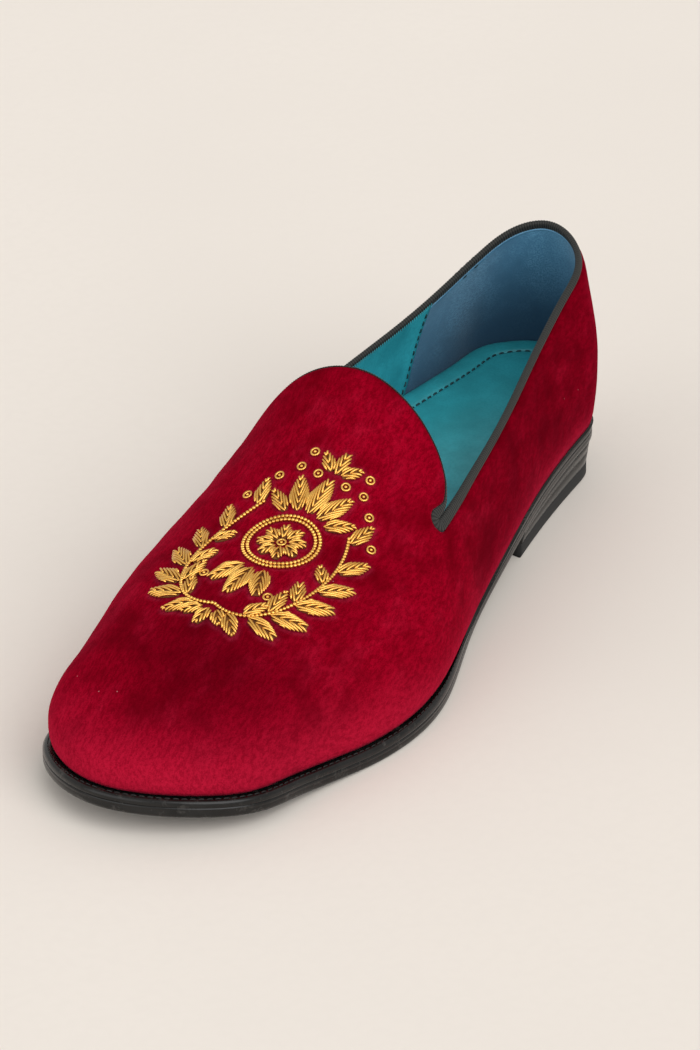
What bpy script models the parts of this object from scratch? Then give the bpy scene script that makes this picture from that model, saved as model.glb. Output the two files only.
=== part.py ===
"""Smoking-slipper loafer, the wearer's left shoe, empty and standing on its sole.

The toe points to -Y, the heel to +Y, the outer (lateral) side of the foot to +X, and the floor is z = 0.
Sizes are in millimetres until add_solid turns them into metres.

Every piece is cut from one last. The last is a row of ribs: the rib at a station (0 at the back of the
heel, 1 at the tip of the toe) starts on the feather line where upper and welt meet, swells out to the
widest outline, and closes over a quarter arc onto the spine, where both sides meet on the ridge.
"""

from typing import NamedTuple

import bmesh
import bpy
import numpy as np

MM = 0.001
GAP = 0.3  # air between pieces that touch

# Driving sizes
LAST_LENGTH = 295.0  # back of the heel to the tip of the toe
BALL_WIDTH = 102.5  # across the widest outline at the ball
INSTEP_HEIGHT = 88.5  # floor to the ridge at the tip of the tongue
HEEL_HEIGHT = 14.5  # floor to the underside of the outsole at the back of the heel
TOE_SPRING = 9.0  # the same at the tip of the toe
HEEL_BACK_Y = 148.5  # sets the origin under the middle of the whole shoe

# Thicknesses and small sizes
OUTSOLE_THICK = 3.5
WELT_THICK = 2.0
INSOLE_THICK = 3.2
INSOLE_HEEL_PAD = 14.0  # more thickness of the insole under the heel
INSOLE_PAD_FRONT = 51.0  # percent of the last's length from the back of the heel where the pad starts
INSOLE_PAD_BACK = 27.0  # and where it is full
UPPER_WALL = 1.7
INSOLE_CLEARANCE = 2.8  # from the upper's outer face in to the insole
TOP_PIECE_THICK = 5.0
EDGE_ROUND = 0.7
WELT_UNDER_UPPER = 6.0
HEEL_BREAST = 27.5  # percent of the last's length from the back of the heel
HEEL_BREAST_HOLLOW = 3.0
HEEL_SIDE_TAPER = 1.2
HEEL_BLOCK_INSET = 0.6

# Opening of the upper, and the ribbon binding round it
V_NOTCH = 53.0  # percent of the last's length from the back of the heel
TONGUE_TIP = 47.5
TONGUE_SHOULDER = 2.1  # how late the tongue's outline turns in from the V notch
TONGUE_ROUNDNESS = 0.31  # of its tip: 1 is round and less is squarer
BINDING_DEPTH = 2.2  # below the topline of the quarters
BINDING_V_DEPTH = 4.0  # round the V notch
BINDING_SETBACK = 0.8  # in front of the tongue's edge
BINDING_PROUD = 0.15  # past each face of the upper's wall


class Section(NamedTuple):
    """Widest outline and wall of the last at one station. Shares are percents."""

    station: float
    back: float  # of the last's length, from the back of the heel
    lateral: float  # of the ball width
    medial: float
    tuck_lateral: float  # from the widest outline in to the feather line
    tuck_medial: float
    rise_lateral: float  # from the feather line up to the widest outline
    rise_medial: float
    edge_lateral: float  # of the sole past the feather line
    edge_medial: float
    fullness_lateral: float  # power of the arc that closes the rib
    fullness_medial: float


SECTIONS = [
    Section(0.000, 0.0, -1.8, -1.8, 2.5, 2.5, 28.0, 28.0, 0.5, 0.5, 3.00, 3.00),
    Section(0.050, 2.6, 16.0, -17.8, 2.3, 2.3, 25.0, 25.0, 0.5, 0.5, 2.20, 1.80),
    Section(0.140, 9.2, 24.6, -25.0, 2.0, 2.0, 21.5, 22.0, 0.5, 0.5, 1.45, 1.50),
    Section(0.270, 20.8, 27.8, -31.3, 2.0, 4.0, 19.0, 21.5, 0.5, 0.2, 1.50, 1.70),
    Section(0.410, 34.6, 34.0, -38.1, 2.0, 7.5, 17.0, 23.0, 0.2, 0.0, 1.70, 2.10),
    Section(0.550, 48.5, 40.8, -44.1, 1.5, 5.5, 14.5, 19.0, 0.3, 0.0, 1.85, 1.85),
    Section(0.670, 61.7, 49.3, -50.7, 1.8, 2.5, 11.0, 12.0, 2.6, 2.2, 2.10, 2.10),
    Section(0.780, 73.9, 47.0, -47.8, 1.6, 1.6, 9.5, 9.5, 3.2, 3.2, 2.45, 2.45),
    Section(0.880, 86.4, 36.5, -41.4, 1.6, 1.6, 8.0, 8.0, 3.7, 3.7, 2.70, 2.70),
    Section(0.955, 95.9, 23.1, -30.6, 1.6, 1.6, 7.5, 7.5, 3.7, 3.7, 2.80, 2.80),
    Section(1.000, 100.0, -5.7, -5.7, 1.6, 1.6, 7.5, 7.5, 3.7, 3.7, 2.80, 2.80),
]


class Knot(NamedTuple):
    """One row of a curve along the shoe: percent from the back of the heel, and the curve's value there."""

    back: float
    value: float


# Side profile over the top of the last, as a percent of the instep height
RIDGE = [
    Knot(-1.4, 128.0),
    Knot(12.2, 114.5),
    Knot(25.8, 105.5),
    Knot(35.9, 103.5),
    Knot(45.4, 103.0),
    Knot(56.3, 83.1),
    Knot(66.4, 67.8),
    Knot(76.6, 61.0),
    Knot(85.1, 53.1),
    Knot(92.9, 42.9),
    Knot(101.4, 28.8),
]
# Topline of the quarters, as a percent of the instep height
TOPLINE = [
    Knot(-1.4, 98.0),
    Knot(8.8, 86.0),
    Knot(19.0, 76.0),
    Knot(29.2, 68.6),
    Knot(39.3, 63.5),
    Knot(49.5, 60.0),
    Knot(59.7, 57.0),
]
# Underside of the outsole, as a percent of the heel height behind the tread and of the toe spring before it
ARCH = [
    Knot(-1.4, 100.0),
    Knot(12.2, 93.0),
    Knot(22.4, 83.0),
    Knot(29.2, 69.0),
    Knot(35.9, 50.0),
    Knot(42.7, 28.0),
    Knot(49.5, 10.0),
    Knot(56.3, 2.0),
    Knot(60.3, 0.0),
    Knot(73.9, 0.0),
]
SPRING = [Knot(60.3, 0.0), Knot(73.9, 0.0), Knot(81.7, 15.0), Knot(90.2, 52.0), Knot(101.4, 100.0)]
# The spine that the ribs close onto, as a percent of the ball width across the shoe
SPINE = [Knot(12.9, -1.8), Knot(35.9, -1.8), Knot(63.1, -1.3), Knot(87.5, -5.7)]


def back_to_y(back):
    """Turns a percent of the last's length from the back of the heel into y."""
    return HEEL_BACK_Y - LAST_LENGTH * np.asarray(back) / 100


def smooth_curve(knots, scale):
    """A function of y through the knots: a cubic that never overshoots, so level stretches stay level."""
    order = sorted(knots, key=lambda knot: -knot.back)
    y = back_to_y([knot.back for knot in order])
    value = np.array([knot.value for knot in order]) * scale / 100
    step = np.diff(y)
    rise = np.diff(value) / step
    same_way = rise[:-1] * rise[1:] > 0
    pair = np.where(same_way, rise[:-1] + rise[1:], 1)
    inner = np.where(same_way, 2 * rise[:-1] * rise[1:] / pair, 0)
    slope = np.concatenate([rise[:1], inner, rise[-1:]])

    def curve(at):
        at = np.clip(at, y[0], y[-1])
        i = np.clip(np.searchsorted(y, at) - 1, 0, len(step) - 1)
        t = (at - y[i]) / step[i]
        ease = t * t * (3 - 2 * t)
        leave = t * (1 - t) ** 2 * slope[i] * step[i]
        arrive = t * t * (t - 1) * slope[i + 1] * step[i]
        return value[i] + (value[i + 1] - value[i]) * ease + leave + arrive

    return curve


def closed_curve(knots, values, period):
    """A periodic cubic spline through rows of values, with level curvature across the knots."""
    count = len(knots)
    step = np.diff(np.append(knots, knots[0] + period))
    matrix = np.zeros((count, count))
    rates = np.zeros_like(values)
    for i in range(count):
        before = (i - 1) % count
        after = (i + 1) % count
        matrix[i, before] += step[before]
        matrix[i, i] += 2 * (step[before] + step[i])
        matrix[i, after] += step[i]
        slope_after = (values[after] - values[i]) / step[i]
        slope_before = (values[i] - values[before]) / step[before]
        rates[i] = 6 * (slope_after - slope_before)
    bends = np.linalg.solve(matrix, rates)

    def curve(at):
        at = (np.asarray(at) - knots[0]) % period + knots[0]
        i = np.clip(np.searchsorted(knots, at, side="right") - 1, 0, count - 1)
        after = (i + 1) % count
        gap = step[i][..., None]
        t = ((at - knots[i]) / step[i])[..., None]
        bend = ((1 - t) ** 3 - (1 - t)) * bends[i] + (t**3 - t) * bends[after]
        return (1 - t) * values[i] + t * values[after] + bend * gap**2 / 6

    return curve


def girth_curve():
    """Outline point and wall columns, up the lateral side (0 to 1) and back down the medial one (1 to 2)."""
    back = back_to_y([row.back for row in SECTIONS])
    lateral = [[s.tuck_lateral, s.rise_lateral, s.edge_lateral, s.fullness_lateral] for s in SECTIONS]
    medial = [[s.tuck_medial, s.rise_medial, s.edge_medial, s.fullness_medial] for s in SECTIONS]
    outer = np.column_stack([np.array([row.lateral for row in SECTIONS]) * BALL_WIDTH / 100, back, lateral])
    inner = np.column_stack([np.array([row.medial for row in SECTIONS]) * BALL_WIDTH / 100, back, medial])
    stations = np.array([row.station for row in SECTIONS])
    knots = np.concatenate([stations, 2 - stations[-2:0:-1]])
    return closed_curve(knots, np.vstack([outer, inner[-2:0:-1]]), 2.0)


GIRTH = girth_curve()
RIDGE_Z = smooth_curve(RIDGE, INSTEP_HEIGHT)
TOPLINE_Z = smooth_curve(TOPLINE, INSTEP_HEIGHT)
ARCH_Z = smooth_curve(ARCH, HEEL_HEIGHT)
SPRING_Z = smooth_curve(SPRING, TOE_SPRING)
SPINE_X = smooth_curve(SPINE, BALL_WIDTH)
# The spine's ends are turning points, so the surface runs smoothly over them from one side to the other
SPINE_MIDDLE = back_to_y((SPINE[0].back + SPINE[-1].back) / 2)
SPINE_REACH = back_to_y(SPINE[0].back) - SPINE_MIDDLE


def underside(y):
    """Height of the outsole's tread face above the floor."""
    return ARCH_Z(y) + SPRING_Z(y)


def feather_height(y):
    """Height of the feather line, where the upper's wall stands on the welt."""
    return underside(y) + OUTSOLE_THICK + WELT_THICK + 2 * GAP


def outline(station, side):
    """The widest outline at each station: points, outward normals in plan, and the wall columns."""
    around = station if side > 0 else 2 - station
    step = 1e-3
    row = GIRTH(around)
    along = GIRTH(around + step)[..., :2] - GIRTH(around - step)[..., :2]
    along /= np.linalg.norm(along, axis=-1, keepdims=True)
    normal = np.stack([-along[..., 1], along[..., 0]], axis=-1)
    return row[..., :2], normal, row[..., 2:]


def last_point(station, side, rise):
    """Points on the last. rise is -1 on the feather line, 0 on the widest outline and 1 on the ridge."""
    station, rise = np.broadcast_arrays(station, rise)
    wide, normal, wall = outline(station, side)
    tuck, lift, _, fullness = np.moveaxis(wall, -1, 0)
    low = np.clip(-rise, 0, 1)
    high = np.clip(rise, 0, 1) * np.pi / 2
    spine_y = SPINE_MIDDLE + SPINE_REACH * np.cos(np.pi * station)
    spine = np.stack([SPINE_X(spine_y), spine_y], axis=-1)
    plan = wide + (spine - wide) * (1 - np.cos(high))[..., None]
    plan = plan - normal * (tuck * low**2.2)[..., None]
    feather = wide - normal * tuck[..., None]
    wide_z = feather_height(feather[..., 1]) + lift
    crown = RIDGE_Z(plan[..., 1]) - wide_z
    z = wide_z + crown * np.sin(high) ** (2 / fullness) - lift * low
    return np.concatenate([plan, z[..., None]], axis=-1)


class Opening:
    """The edge of the foot opening on one side, and lines set back from it over the last's surface.

    The edge runs from the back of the heel along the quarter to the V notch, then up the edge of the
    tongue to its tip. A line is a pair of arrays, stations and rises.
    """

    def __init__(self, side):
        self.side = side
        self.v_y = back_to_y(V_NOTCH)
        self.v_z = TOPLINE_Z(self.v_y)
        self.tip_y = back_to_y(TONGUE_TIP)
        self.tip_station = float(np.arccos((self.tip_y - SPINE_MIDDLE) / SPINE_REACH) / np.pi)
        self.v_station = self.find_v_station()

    def find_v_station(self):
        """The station whose rib meets the quarter's edge at the V notch, found by halving."""
        low, high = np.array(0.4), np.array(0.8)
        for _ in range(40):
            middle = (low + high) / 2
            point = last_point(middle, self.side, self.rise_below(middle, TOPLINE_Z))
            low, high = (middle, high) if point[1] > self.v_y else (low, middle)
        return float(low)

    def tongue_z(self, y):
        """Height of the tongue's edge: from the V notch up to the ridge, and round over the ridge."""
        along = np.clip((y - self.v_y) / (self.tip_y - self.v_y), 0, 1)
        return RIDGE_Z(y) - (RIDGE_Z(y) - self.v_z) * (1 - along**TONGUE_SHOULDER) ** TONGUE_ROUNDNESS

    def rise_below(self, station, height):
        """The rise where each rib passes the height, found by halving."""
        low = np.zeros_like(station)
        high = np.ones_like(station)
        for _ in range(40):
            middle = (low + high) / 2
            point = last_point(station, self.side, middle)
            under = point[..., 2] < height(point[..., 1])
            low = np.where(under, middle, low)
            high = np.where(under, high, middle)
        return low

    def edge(self):
        """Stations and rises of the edge, with the V notch repeated where set-back lines turn round it."""
        quarter = self.v_station * QUARTER_SHARES
        quarter_rise = self.rise_below(quarter, TOPLINE_Z)
        toward_tip = np.sin(TONGUE_SHARES * np.pi / 2)
        tongue = self.v_station + (self.tip_station - self.v_station) * toward_tip
        tongue_rise = self.rise_below(tongue, self.tongue_z)
        tongue_rise[0], tongue_rise[-1] = quarter_rise[-1], 1
        turn = np.full(TURN_STEPS - 1, self.v_station)
        turn_rise = np.full(TURN_STEPS - 1, quarter_rise[-1])
        stations = np.concatenate([quarter, turn, tongue])
        return stations, np.concatenate([quarter_rise, turn_rise, tongue_rise])

    def set_back(self, extra):
        """The line at the binding's depth plus a little more, square to the edge along the surface."""
        station, rise = self.edge()
        v_first = len(QUARTER_SHARES) - 1
        v_last = v_first + TURN_STEPS
        point = last_point(station, self.side, rise)
        step = 1e-4
        up = last_point(station, self.side, rise - step) - point
        forward = last_point(station + step, self.side, rise) - point
        normal = np.cross(up, forward)
        normal /= np.linalg.norm(normal, axis=1, keepdims=True)
        along = np.gradient(point, axis=0)
        along[0] = (self.side, 0, 0)
        along[-1] = (-self.side, 0, 0)
        along[v_first:v_last] = point[v_first] - point[v_first - 1]
        along[v_last] = point[v_last + 1] - point[v_last]
        into = np.cross(along, normal)
        into /= np.linalg.norm(into, axis=1, keepdims=True)
        turn = np.linspace(0, 1, TURN_STEPS + 1)
        start, end = into[v_first], into[v_last]
        angle = np.arccos(np.clip(start @ end, -1, 1))
        fan = np.outer(np.sin((1 - turn) * angle), start) + np.outer(np.sin(turn * angle), end)
        into[v_first : v_last + 1] = fan / np.linalg.norm(fan, axis=1, keepdims=True)
        width = np.full(len(station), BINDING_V_DEPTH)
        nearing = np.clip((QUARTER_SHARES - 1) / BINDING_WIDENING + 1, 0, 1) ** 2
        leaving = np.clip(1 - TONGUE_SHARES / BINDING_WIDENING, 0, 1) ** 2
        width[: v_first + 1] = BINDING_DEPTH + (BINDING_V_DEPTH - BINDING_DEPTH) * nearing
        width[v_last:] = BINDING_SETBACK + (BINDING_V_DEPTH - BINDING_SETBACK) * leaving
        target = point + into * (width + extra)[:, None]
        free = np.ones((len(station), 1, 2))
        free[0, 0, 0] = 0
        free[-1, 0, 1] = 0
        for _ in range(6):
            point = last_point(station, self.side, rise)
            by_station = (last_point(station + step, self.side, rise) - point) / step
            by_rise = (point - last_point(station, self.side, rise - step)) / step
            slide = np.linalg.pinv(np.stack([by_station, by_rise], axis=-1) * free)
            move = np.einsum("nij,nj->ni", slide, target - point)
            station = station + move[:, 0]
            rise = np.minimum(rise + move[:, 1], 1)
        return station, rise


QUARTER_SHARES = np.concatenate([np.linspace(0, 0.22, 6), np.linspace(0.28, 0.82, 8), [0.89, 0.95, 1]])
TONGUE_SHARES = np.linspace(0, 1, 10)
FRONT_SHARES = np.array([0, 0.08, 0.17, 0.27, 0.37, 0.47, 0.57, 0.66, 0.75, 0.82, 0.88, 0.925, 0.96, 1])
TURN_STEPS = 6
BINDING_WIDENING = 0.35  # share of the quarter's edge, and of the tongue's, that widens to the V notch
LOW_RISES = np.array([-1.0, -0.75, -0.45])
SIDE_SHARES = np.array([0, 0.12, 0.26, 0.42, 0.6, 0.8, 1])
CROWN_SHARES = np.array([0, 0.15, 0.3, 0.46, 0.62, 0.8, 1])
HEEL_END, MIDDLE, TOE_END = np.linspace(0, 0.14, 8), np.linspace(0.19, 0.83, 14), np.linspace(0.865, 1, 8)
SOLE_STATIONS = np.concatenate([HEEL_END, MIDDLE, TOE_END])
LATERAL, MEDIAL = 1, -1


def ladder(bottom, top, shares):
    """Rows from one curve of rises to another at the same stations."""
    return bottom[:, None] + (top - bottom)[:, None] * shares


class Patches:
    """Grids of points sewn into one surface. Their rows run up the wall and their columns along the shoe."""

    def __init__(self):
        self.points = []
        self.faces = []

    def add(self, grid, flip):
        """Adds a grid of points, with its faces turned over where flip is true."""
        start = sum(len(part) for part in self.points)
        columns, rows = grid.shape[:2]
        index = start + np.arange(columns * rows).reshape(columns, rows)
        corners = [index[:-1, :-1], index[1:, :-1], index[1:, 1:], index[:-1, 1:]]
        faces = np.stack(corners, axis=-1).reshape(-1, 4)
        self.points.append(grid.reshape(-1, 3))
        self.faces += (faces[:, ::-1] if flip else faces).tolist()

    def mesh(self, name):
        """The sewn mesh, in metres."""
        mesh = bpy.data.meshes.new(name)
        mesh.from_pydata(np.vstack(self.points) * MM, [], self.faces)
        work = bmesh.new()
        work.from_mesh(mesh)
        bmesh.ops.remove_doubles(work, verts=work.verts, dist=0.00002)
        bmesh.ops.dissolve_degenerate(work, edges=work.edges, dist=0.00001)
        work.to_mesh(mesh)
        work.free()
        return mesh


def upper_surface():
    """The outer face of the upper, from the feather line up to the binding.

    Its columns lean from each side's own stations onto shared ones, so that both sides meet on the ridge,
    and the rows of both sides end at the same rises on the tip of the toe.
    """
    turn = len(QUARTER_SHARES) - 1 + TURN_STEPS // 2
    lines = {side: Opening(side).set_back(GAP) for side in (LATERAL, MEDIAL)}
    ridge = (lines[LATERAL][0] + lines[MEDIAL][0]) / 2
    ridge_front = ridge[turn] + (1 - ridge[turn]) * FRONT_SHARES
    toe_shoulder = (lines[LATERAL][1][turn] + lines[MEDIAL][1][turn]) / 2
    patches = Patches()
    for side, (station, rise) in lines.items():
        flip = side == LATERAL
        low = np.broadcast_to(LOW_RISES, (turn + 1, len(LOW_RISES)))
        wall = ladder(0 * rise[: turn + 1], rise[: turn + 1], SIDE_SHARES)
        patches.add(last_point(station[: turn + 1, None], side, np.concatenate([low, wall], axis=1)), flip)
        front = station[turn] + (1 - station[turn]) * FRONT_SHARES
        shoulder = rise[turn] + (toe_shoulder - rise[turn]) * FRONT_SHARES
        low = np.broadcast_to(LOW_RISES, (len(front), len(LOW_RISES)))
        wall = np.concatenate([low, ladder(0 * shoulder, shoulder, SIDE_SHARES)], axis=1)
        patches.add(last_point(front[:, None], side, wall), flip)
        crown = ladder(shoulder, np.ones(len(front)), CROWN_SHARES)
        leaning = ladder(front, ridge_front, CROWN_SHARES)
        patches.add(last_point(leaning, side, crown), flip)
        leaning = ladder(station[turn:], ridge[turn:], CROWN_SHARES)
        crown = ladder(rise[turn:], np.ones(len(rise) - turn), CROWN_SHARES)
        patches.add(last_point(leaning, side, crown), not flip)
    return patches.mesh("upper")


def binding_surface():
    """The outer face of the ribbon round the opening: between its edge and the line set back from it."""
    patches = Patches()
    across = np.linspace(0, 1, 4)
    for side in (LATERAL, MEDIAL):
        opening = Opening(side)
        top_station, top_rise = opening.edge()
        foot_station, foot_rise = opening.set_back(0)
        stations = ladder(foot_station, top_station, across)
        rises = ladder(foot_rise, top_rise, across)
        patches.add(last_point(stations, side, rises), side == LATERAL)
    return patches.mesh("collar_binding")


def level(stations, inset, height, across=3, hollow=0.0):
    """A grid over the bottom of the last, inset from the feather line, at a height worked out from y.

    hollow pulls the last row back in the middle, as on the front face of a heel.
    """
    rims = []
    for side in (LATERAL, MEDIAL):
        wide, normal, wall = outline(stations, side)
        rims.append(wide - normal * (wall[:, :1] + inset(wall, wide[:, 1:])))
    share = np.linspace(0, 1, across)
    plan = rims[0][:, None] + (rims[1] - rims[0])[:, None] * share[:, None]
    pull = hollow * np.linspace(0, 1, len(stations))[:, None] ** 2 * 4 * share * (1 - share)
    plan[..., 1] += pull
    return np.concatenate([plan, height(plan[..., 1])[..., None]], axis=-1)


def from_sole_edge(inset):
    """Inset measured from the sole's outer edge."""
    return lambda wall, y: inset - wall[:, 2:3] + 0 * y


def from_feather(inset):
    """Inset measured from the feather line."""
    return lambda wall, y: inset + 0 * y


def raised(amount):
    """A height above the outsole's underside."""
    return lambda y: underside(y) + amount


def slab_mesh(name, levels):
    """A closed solid between the first grid and the last, with the rims of all of them as its sides."""
    patches = Patches()
    patches.add(levels[0], False)
    patches.add(levels[-1], True)
    for lower, upper in zip(levels, levels[1:]):
        for rim in (np.s_[:, 0], np.s_[-1, :], np.s_[::-1, -1], np.s_[0, ::-1]):
            patches.add(np.stack([lower[rim], upper[rim]], axis=1), False)
    mesh = patches.mesh(name)
    outward(mesh)
    return mesh


def outward(mesh):
    """Turns the faces of a closed mesh outwards."""
    work = bmesh.new()
    work.from_mesh(mesh)
    bmesh.ops.recalc_face_normals(work, faces=work.faces)
    work.to_mesh(mesh)
    work.free()


def outsole_mesh():
    """The full outsole, with its lower edge rounded over."""
    top = raised(OUTSOLE_THICK)
    return slab_mesh(
        "outsole",
        [
            level(SOLE_STATIONS, from_sole_edge(EDGE_ROUND), raised(0)),
            level(SOLE_STATIONS, from_sole_edge(0.3 * EDGE_ROUND), raised(0.3 * EDGE_ROUND)),
            level(SOLE_STATIONS, from_sole_edge(0), raised(EDGE_ROUND)),
            level(SOLE_STATIONS, from_sole_edge(0), top),
        ],
    )


def welt_mesh():
    """A strip all round between outsole and upper: its top rolls over to the outside in a quarter round."""
    foot = OUTSOLE_THICK + GAP
    rings = [(from_sole_edge(0), foot)]
    for turn in np.linspace(0, np.pi / 2, 4):
        inset = WELT_THICK * 0.8 * (1 - np.cos(turn))
        rings.append((from_sole_edge(inset), foot + WELT_THICK * (0.2 + 0.8 * np.sin(turn))))
    rings.append((from_feather(WELT_UNDER_UPPER), foot + WELT_THICK))
    rings.append((from_feather(WELT_UNDER_UPPER), foot))
    rings.append(rings[0])
    patches = Patches()
    for side in (LATERAL, MEDIAL):
        wide, normal, wall = outline(SOLE_STATIONS, side)
        loop = []
        for inset, height in rings:
            plan = wide - normal * (wall[:, :1] + inset(wall, wide[:, 1:]))
            loop.append(np.column_stack([plan, underside(plan[:, 1]) + height]))
        patches.add(np.stack(loop, axis=1), side == LATERAL)
    mesh = patches.mesh("welt")
    outward(mesh)
    return mesh


def insole_thickness(y):
    """Thickness of the insole, which is padded up towards the heel."""
    front, back = back_to_y(INSOLE_PAD_FRONT), back_to_y(INSOLE_PAD_BACK)
    along = np.clip((y - front) / (back - front), 0, 1)
    return INSOLE_THICK + INSOLE_HEEL_PAD * along * along * (3 - 2 * along)


def inside_upper(share, clearance):
    """Inset that follows the upper's inner face at a share of the insole's thickness."""

    def inset(wall, y):
        tuck, lift = wall[:, :1], wall[:, 1:2]
        low = np.clip(1 - share * insole_thickness(y) / lift, 0, 1)
        return clearance - tuck * (1 - low**2.2)

    return inset


def insole_mesh():
    """The insole: it rests on the welt's inner edge and fills the space inside it down to the outsole."""
    floor = OUTSOLE_THICK + GAP
    shelf = floor + WELT_THICK + GAP
    inner = from_feather(WELT_UNDER_UPPER + GAP)
    levels = [level(SOLE_STATIONS, inner, raised(floor)), level(SOLE_STATIONS, inner, raised(shelf))]
    for share in (0, 0.3, 0.6, 0.85):
        rim = inside_upper(share, INSOLE_CLEARANCE)
        levels.append(level(SOLE_STATIONS, rim, lambda y: underside(y) + shelf + share * insole_thickness(y)))
    rim = inside_upper(1, INSOLE_CLEARANCE + EDGE_ROUND)
    levels.append(level(SOLE_STATIONS, rim, lambda y: underside(y) + shelf + insole_thickness(y)))
    return slab_mesh("insole", levels)


def heel_stations():
    """Stations from the back of the heel to its breast."""
    rows = np.array([row.station for row in SECTIONS])
    backs = np.array([row.back for row in SECTIONS])
    breast = np.interp(HEEL_BREAST, backs, rows)
    return breast * np.array([0, 0.06, 0.12, 0.19, 0.27, 0.36, 0.46, 0.58, 0.7, 0.85, 1])


def heel_level(inset, height):
    """A grid across the heel, with its front edge curved back in the middle."""
    return level(heel_stations(), from_sole_edge(inset), height, across=7, hollow=HEEL_BREAST_HOLLOW)


def heel_block_mesh():
    """The heel's stacked leather, from the outsole down to the top piece, a little narrower below."""
    foot = HEEL_BLOCK_INSET + HEEL_SIDE_TAPER
    return slab_mesh(
        "heel_block",
        [
            heel_level(foot, lambda y: TOP_PIECE_THICK + GAP + 0 * y),
            heel_level(HEEL_BLOCK_INSET, raised(-GAP)),
        ],
    )


def heel_top_piece_mesh():
    """The rubber top piece that the heel stands on."""
    inset = HEEL_BLOCK_INSET + HEEL_SIDE_TAPER
    return slab_mesh(
        "heel_top_piece",
        [
            heel_level(inset + EDGE_ROUND, lambda y: 0 * y),
            heel_level(inset, lambda y: EDGE_ROUND + 0 * y),
            heel_level(inset, lambda y: TOP_PIECE_THICK + 0 * y),
        ],
    )


class Finish(NamedTuple):
    """Colour and gloss of one material."""

    colour: tuple
    roughness: float


FINISHES = {
    "velvet": Finish((0.30, 0.004, 0.025), 0.9),
    "grosgrain": Finish((0.012, 0.014, 0.014), 0.7),
    "lining_leather": Finish((0.008, 0.11, 0.13), 0.5),
    "sole_leather": Finish((0.010, 0.009, 0.009), 0.3),
    "heel_rubber": Finish((0.014, 0.014, 0.015), 0.6),
}


def material(name):
    """The material with this finish, made once."""
    if name in bpy.data.materials:
        return bpy.data.materials[name]
    made = bpy.data.materials.new(name)
    made.use_nodes = True
    shader = made.node_tree.nodes["Principled BSDF"]
    shader.inputs["Base Color"].default_value = (*FINISHES[name].colour, 1)
    shader.inputs["Roughness"].default_value = FINISHES[name].roughness
    made.diffuse_color = (*FINISHES[name].colour, 1)
    return made


def add_solid(collection, mesh, finish):
    """Puts a mesh in the collection as one named object."""
    piece = bpy.data.objects.new(mesh.name, mesh)
    mesh.materials.append(material(finish))
    mesh.shade_smooth()
    mesh.set_sharp_from_angle(angle=np.radians(40))
    collection.objects.link(piece)
    return piece


def add_wall(piece, thickness, proud):
    """Gives an open surface its wall: mostly inwards, and proud of the surface by a little."""
    wall = piece.modifiers.new("wall", "SOLIDIFY")
    wall.thickness = thickness * MM
    wall.offset = 2 * proud / thickness - 1
    wall.use_quality_normals = True


def main():
    for old in list(bpy.data.objects):
        bpy.data.objects.remove(old)
    collection = bpy.data.collections.new("loafer")
    bpy.context.scene.collection.children.link(collection)
    add_solid(collection, outsole_mesh(), "sole_leather")
    add_solid(collection, welt_mesh(), "sole_leather")
    add_solid(collection, heel_block_mesh(), "sole_leather")
    add_solid(collection, heel_top_piece_mesh(), "heel_rubber")
    add_solid(collection, insole_mesh(), "lining_leather")
    upper = add_solid(collection, upper_surface(), "velvet")
    add_wall(upper, UPPER_WALL, 0)
    binding = add_solid(collection, binding_surface(), "grosgrain")
    add_wall(binding, UPPER_WALL + 2 * BINDING_PROUD, BINDING_PROUD)


main()
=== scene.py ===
"""Dresses the left loafer: a velvet smoking slipper with a gold motif, a ribbon binding and a teal lining.

The toe points to -Y, the heel to +Y, the outer side of the foot to +X, and the floor is z = 0. Shapes are
worked out in millimetres, as whole arrays, and turned into metres when a mesh is made.
"""

import logging
from dataclasses import dataclass, field
from enum import Enum
from typing import Callable, Iterable, NamedTuple

import bmesh
import bpy
import numpy as np
from mathutils import Matrix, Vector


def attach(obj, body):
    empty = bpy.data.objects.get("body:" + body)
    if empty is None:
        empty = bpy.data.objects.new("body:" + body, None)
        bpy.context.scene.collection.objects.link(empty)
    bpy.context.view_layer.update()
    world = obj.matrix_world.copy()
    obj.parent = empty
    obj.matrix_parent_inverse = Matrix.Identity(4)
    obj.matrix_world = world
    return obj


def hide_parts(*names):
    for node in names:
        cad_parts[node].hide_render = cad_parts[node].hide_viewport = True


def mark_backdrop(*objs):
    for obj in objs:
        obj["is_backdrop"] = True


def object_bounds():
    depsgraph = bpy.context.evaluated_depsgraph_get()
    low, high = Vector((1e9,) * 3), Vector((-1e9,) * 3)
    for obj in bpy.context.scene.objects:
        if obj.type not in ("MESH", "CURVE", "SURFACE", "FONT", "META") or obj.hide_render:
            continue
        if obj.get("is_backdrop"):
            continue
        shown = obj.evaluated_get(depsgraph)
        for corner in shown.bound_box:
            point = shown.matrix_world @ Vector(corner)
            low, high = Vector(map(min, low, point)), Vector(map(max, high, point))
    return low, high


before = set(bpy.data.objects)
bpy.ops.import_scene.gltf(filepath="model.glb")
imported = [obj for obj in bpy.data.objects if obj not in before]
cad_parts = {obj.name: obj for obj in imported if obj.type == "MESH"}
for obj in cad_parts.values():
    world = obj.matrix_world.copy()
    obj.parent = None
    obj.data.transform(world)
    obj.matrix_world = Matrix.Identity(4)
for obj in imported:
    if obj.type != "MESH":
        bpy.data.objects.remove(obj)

Array = np.ndarray
Pair = tuple[Array, Array]
Piece = bpy.types.Object
Spot = tuple[float, float]
Triple = tuple[float, float, float]
Colour = Triple
MM = 0.001
GAP = 0.3
BLOCK = 1500
STEP = 1e-3
FINE_STEP = 1e-4
LOG = logging.getLogger("loafer")


class Side(Enum):
    """Which side of the foot a surface lies on."""

    LATERAL = 1
    MEDIAL = -1


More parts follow.
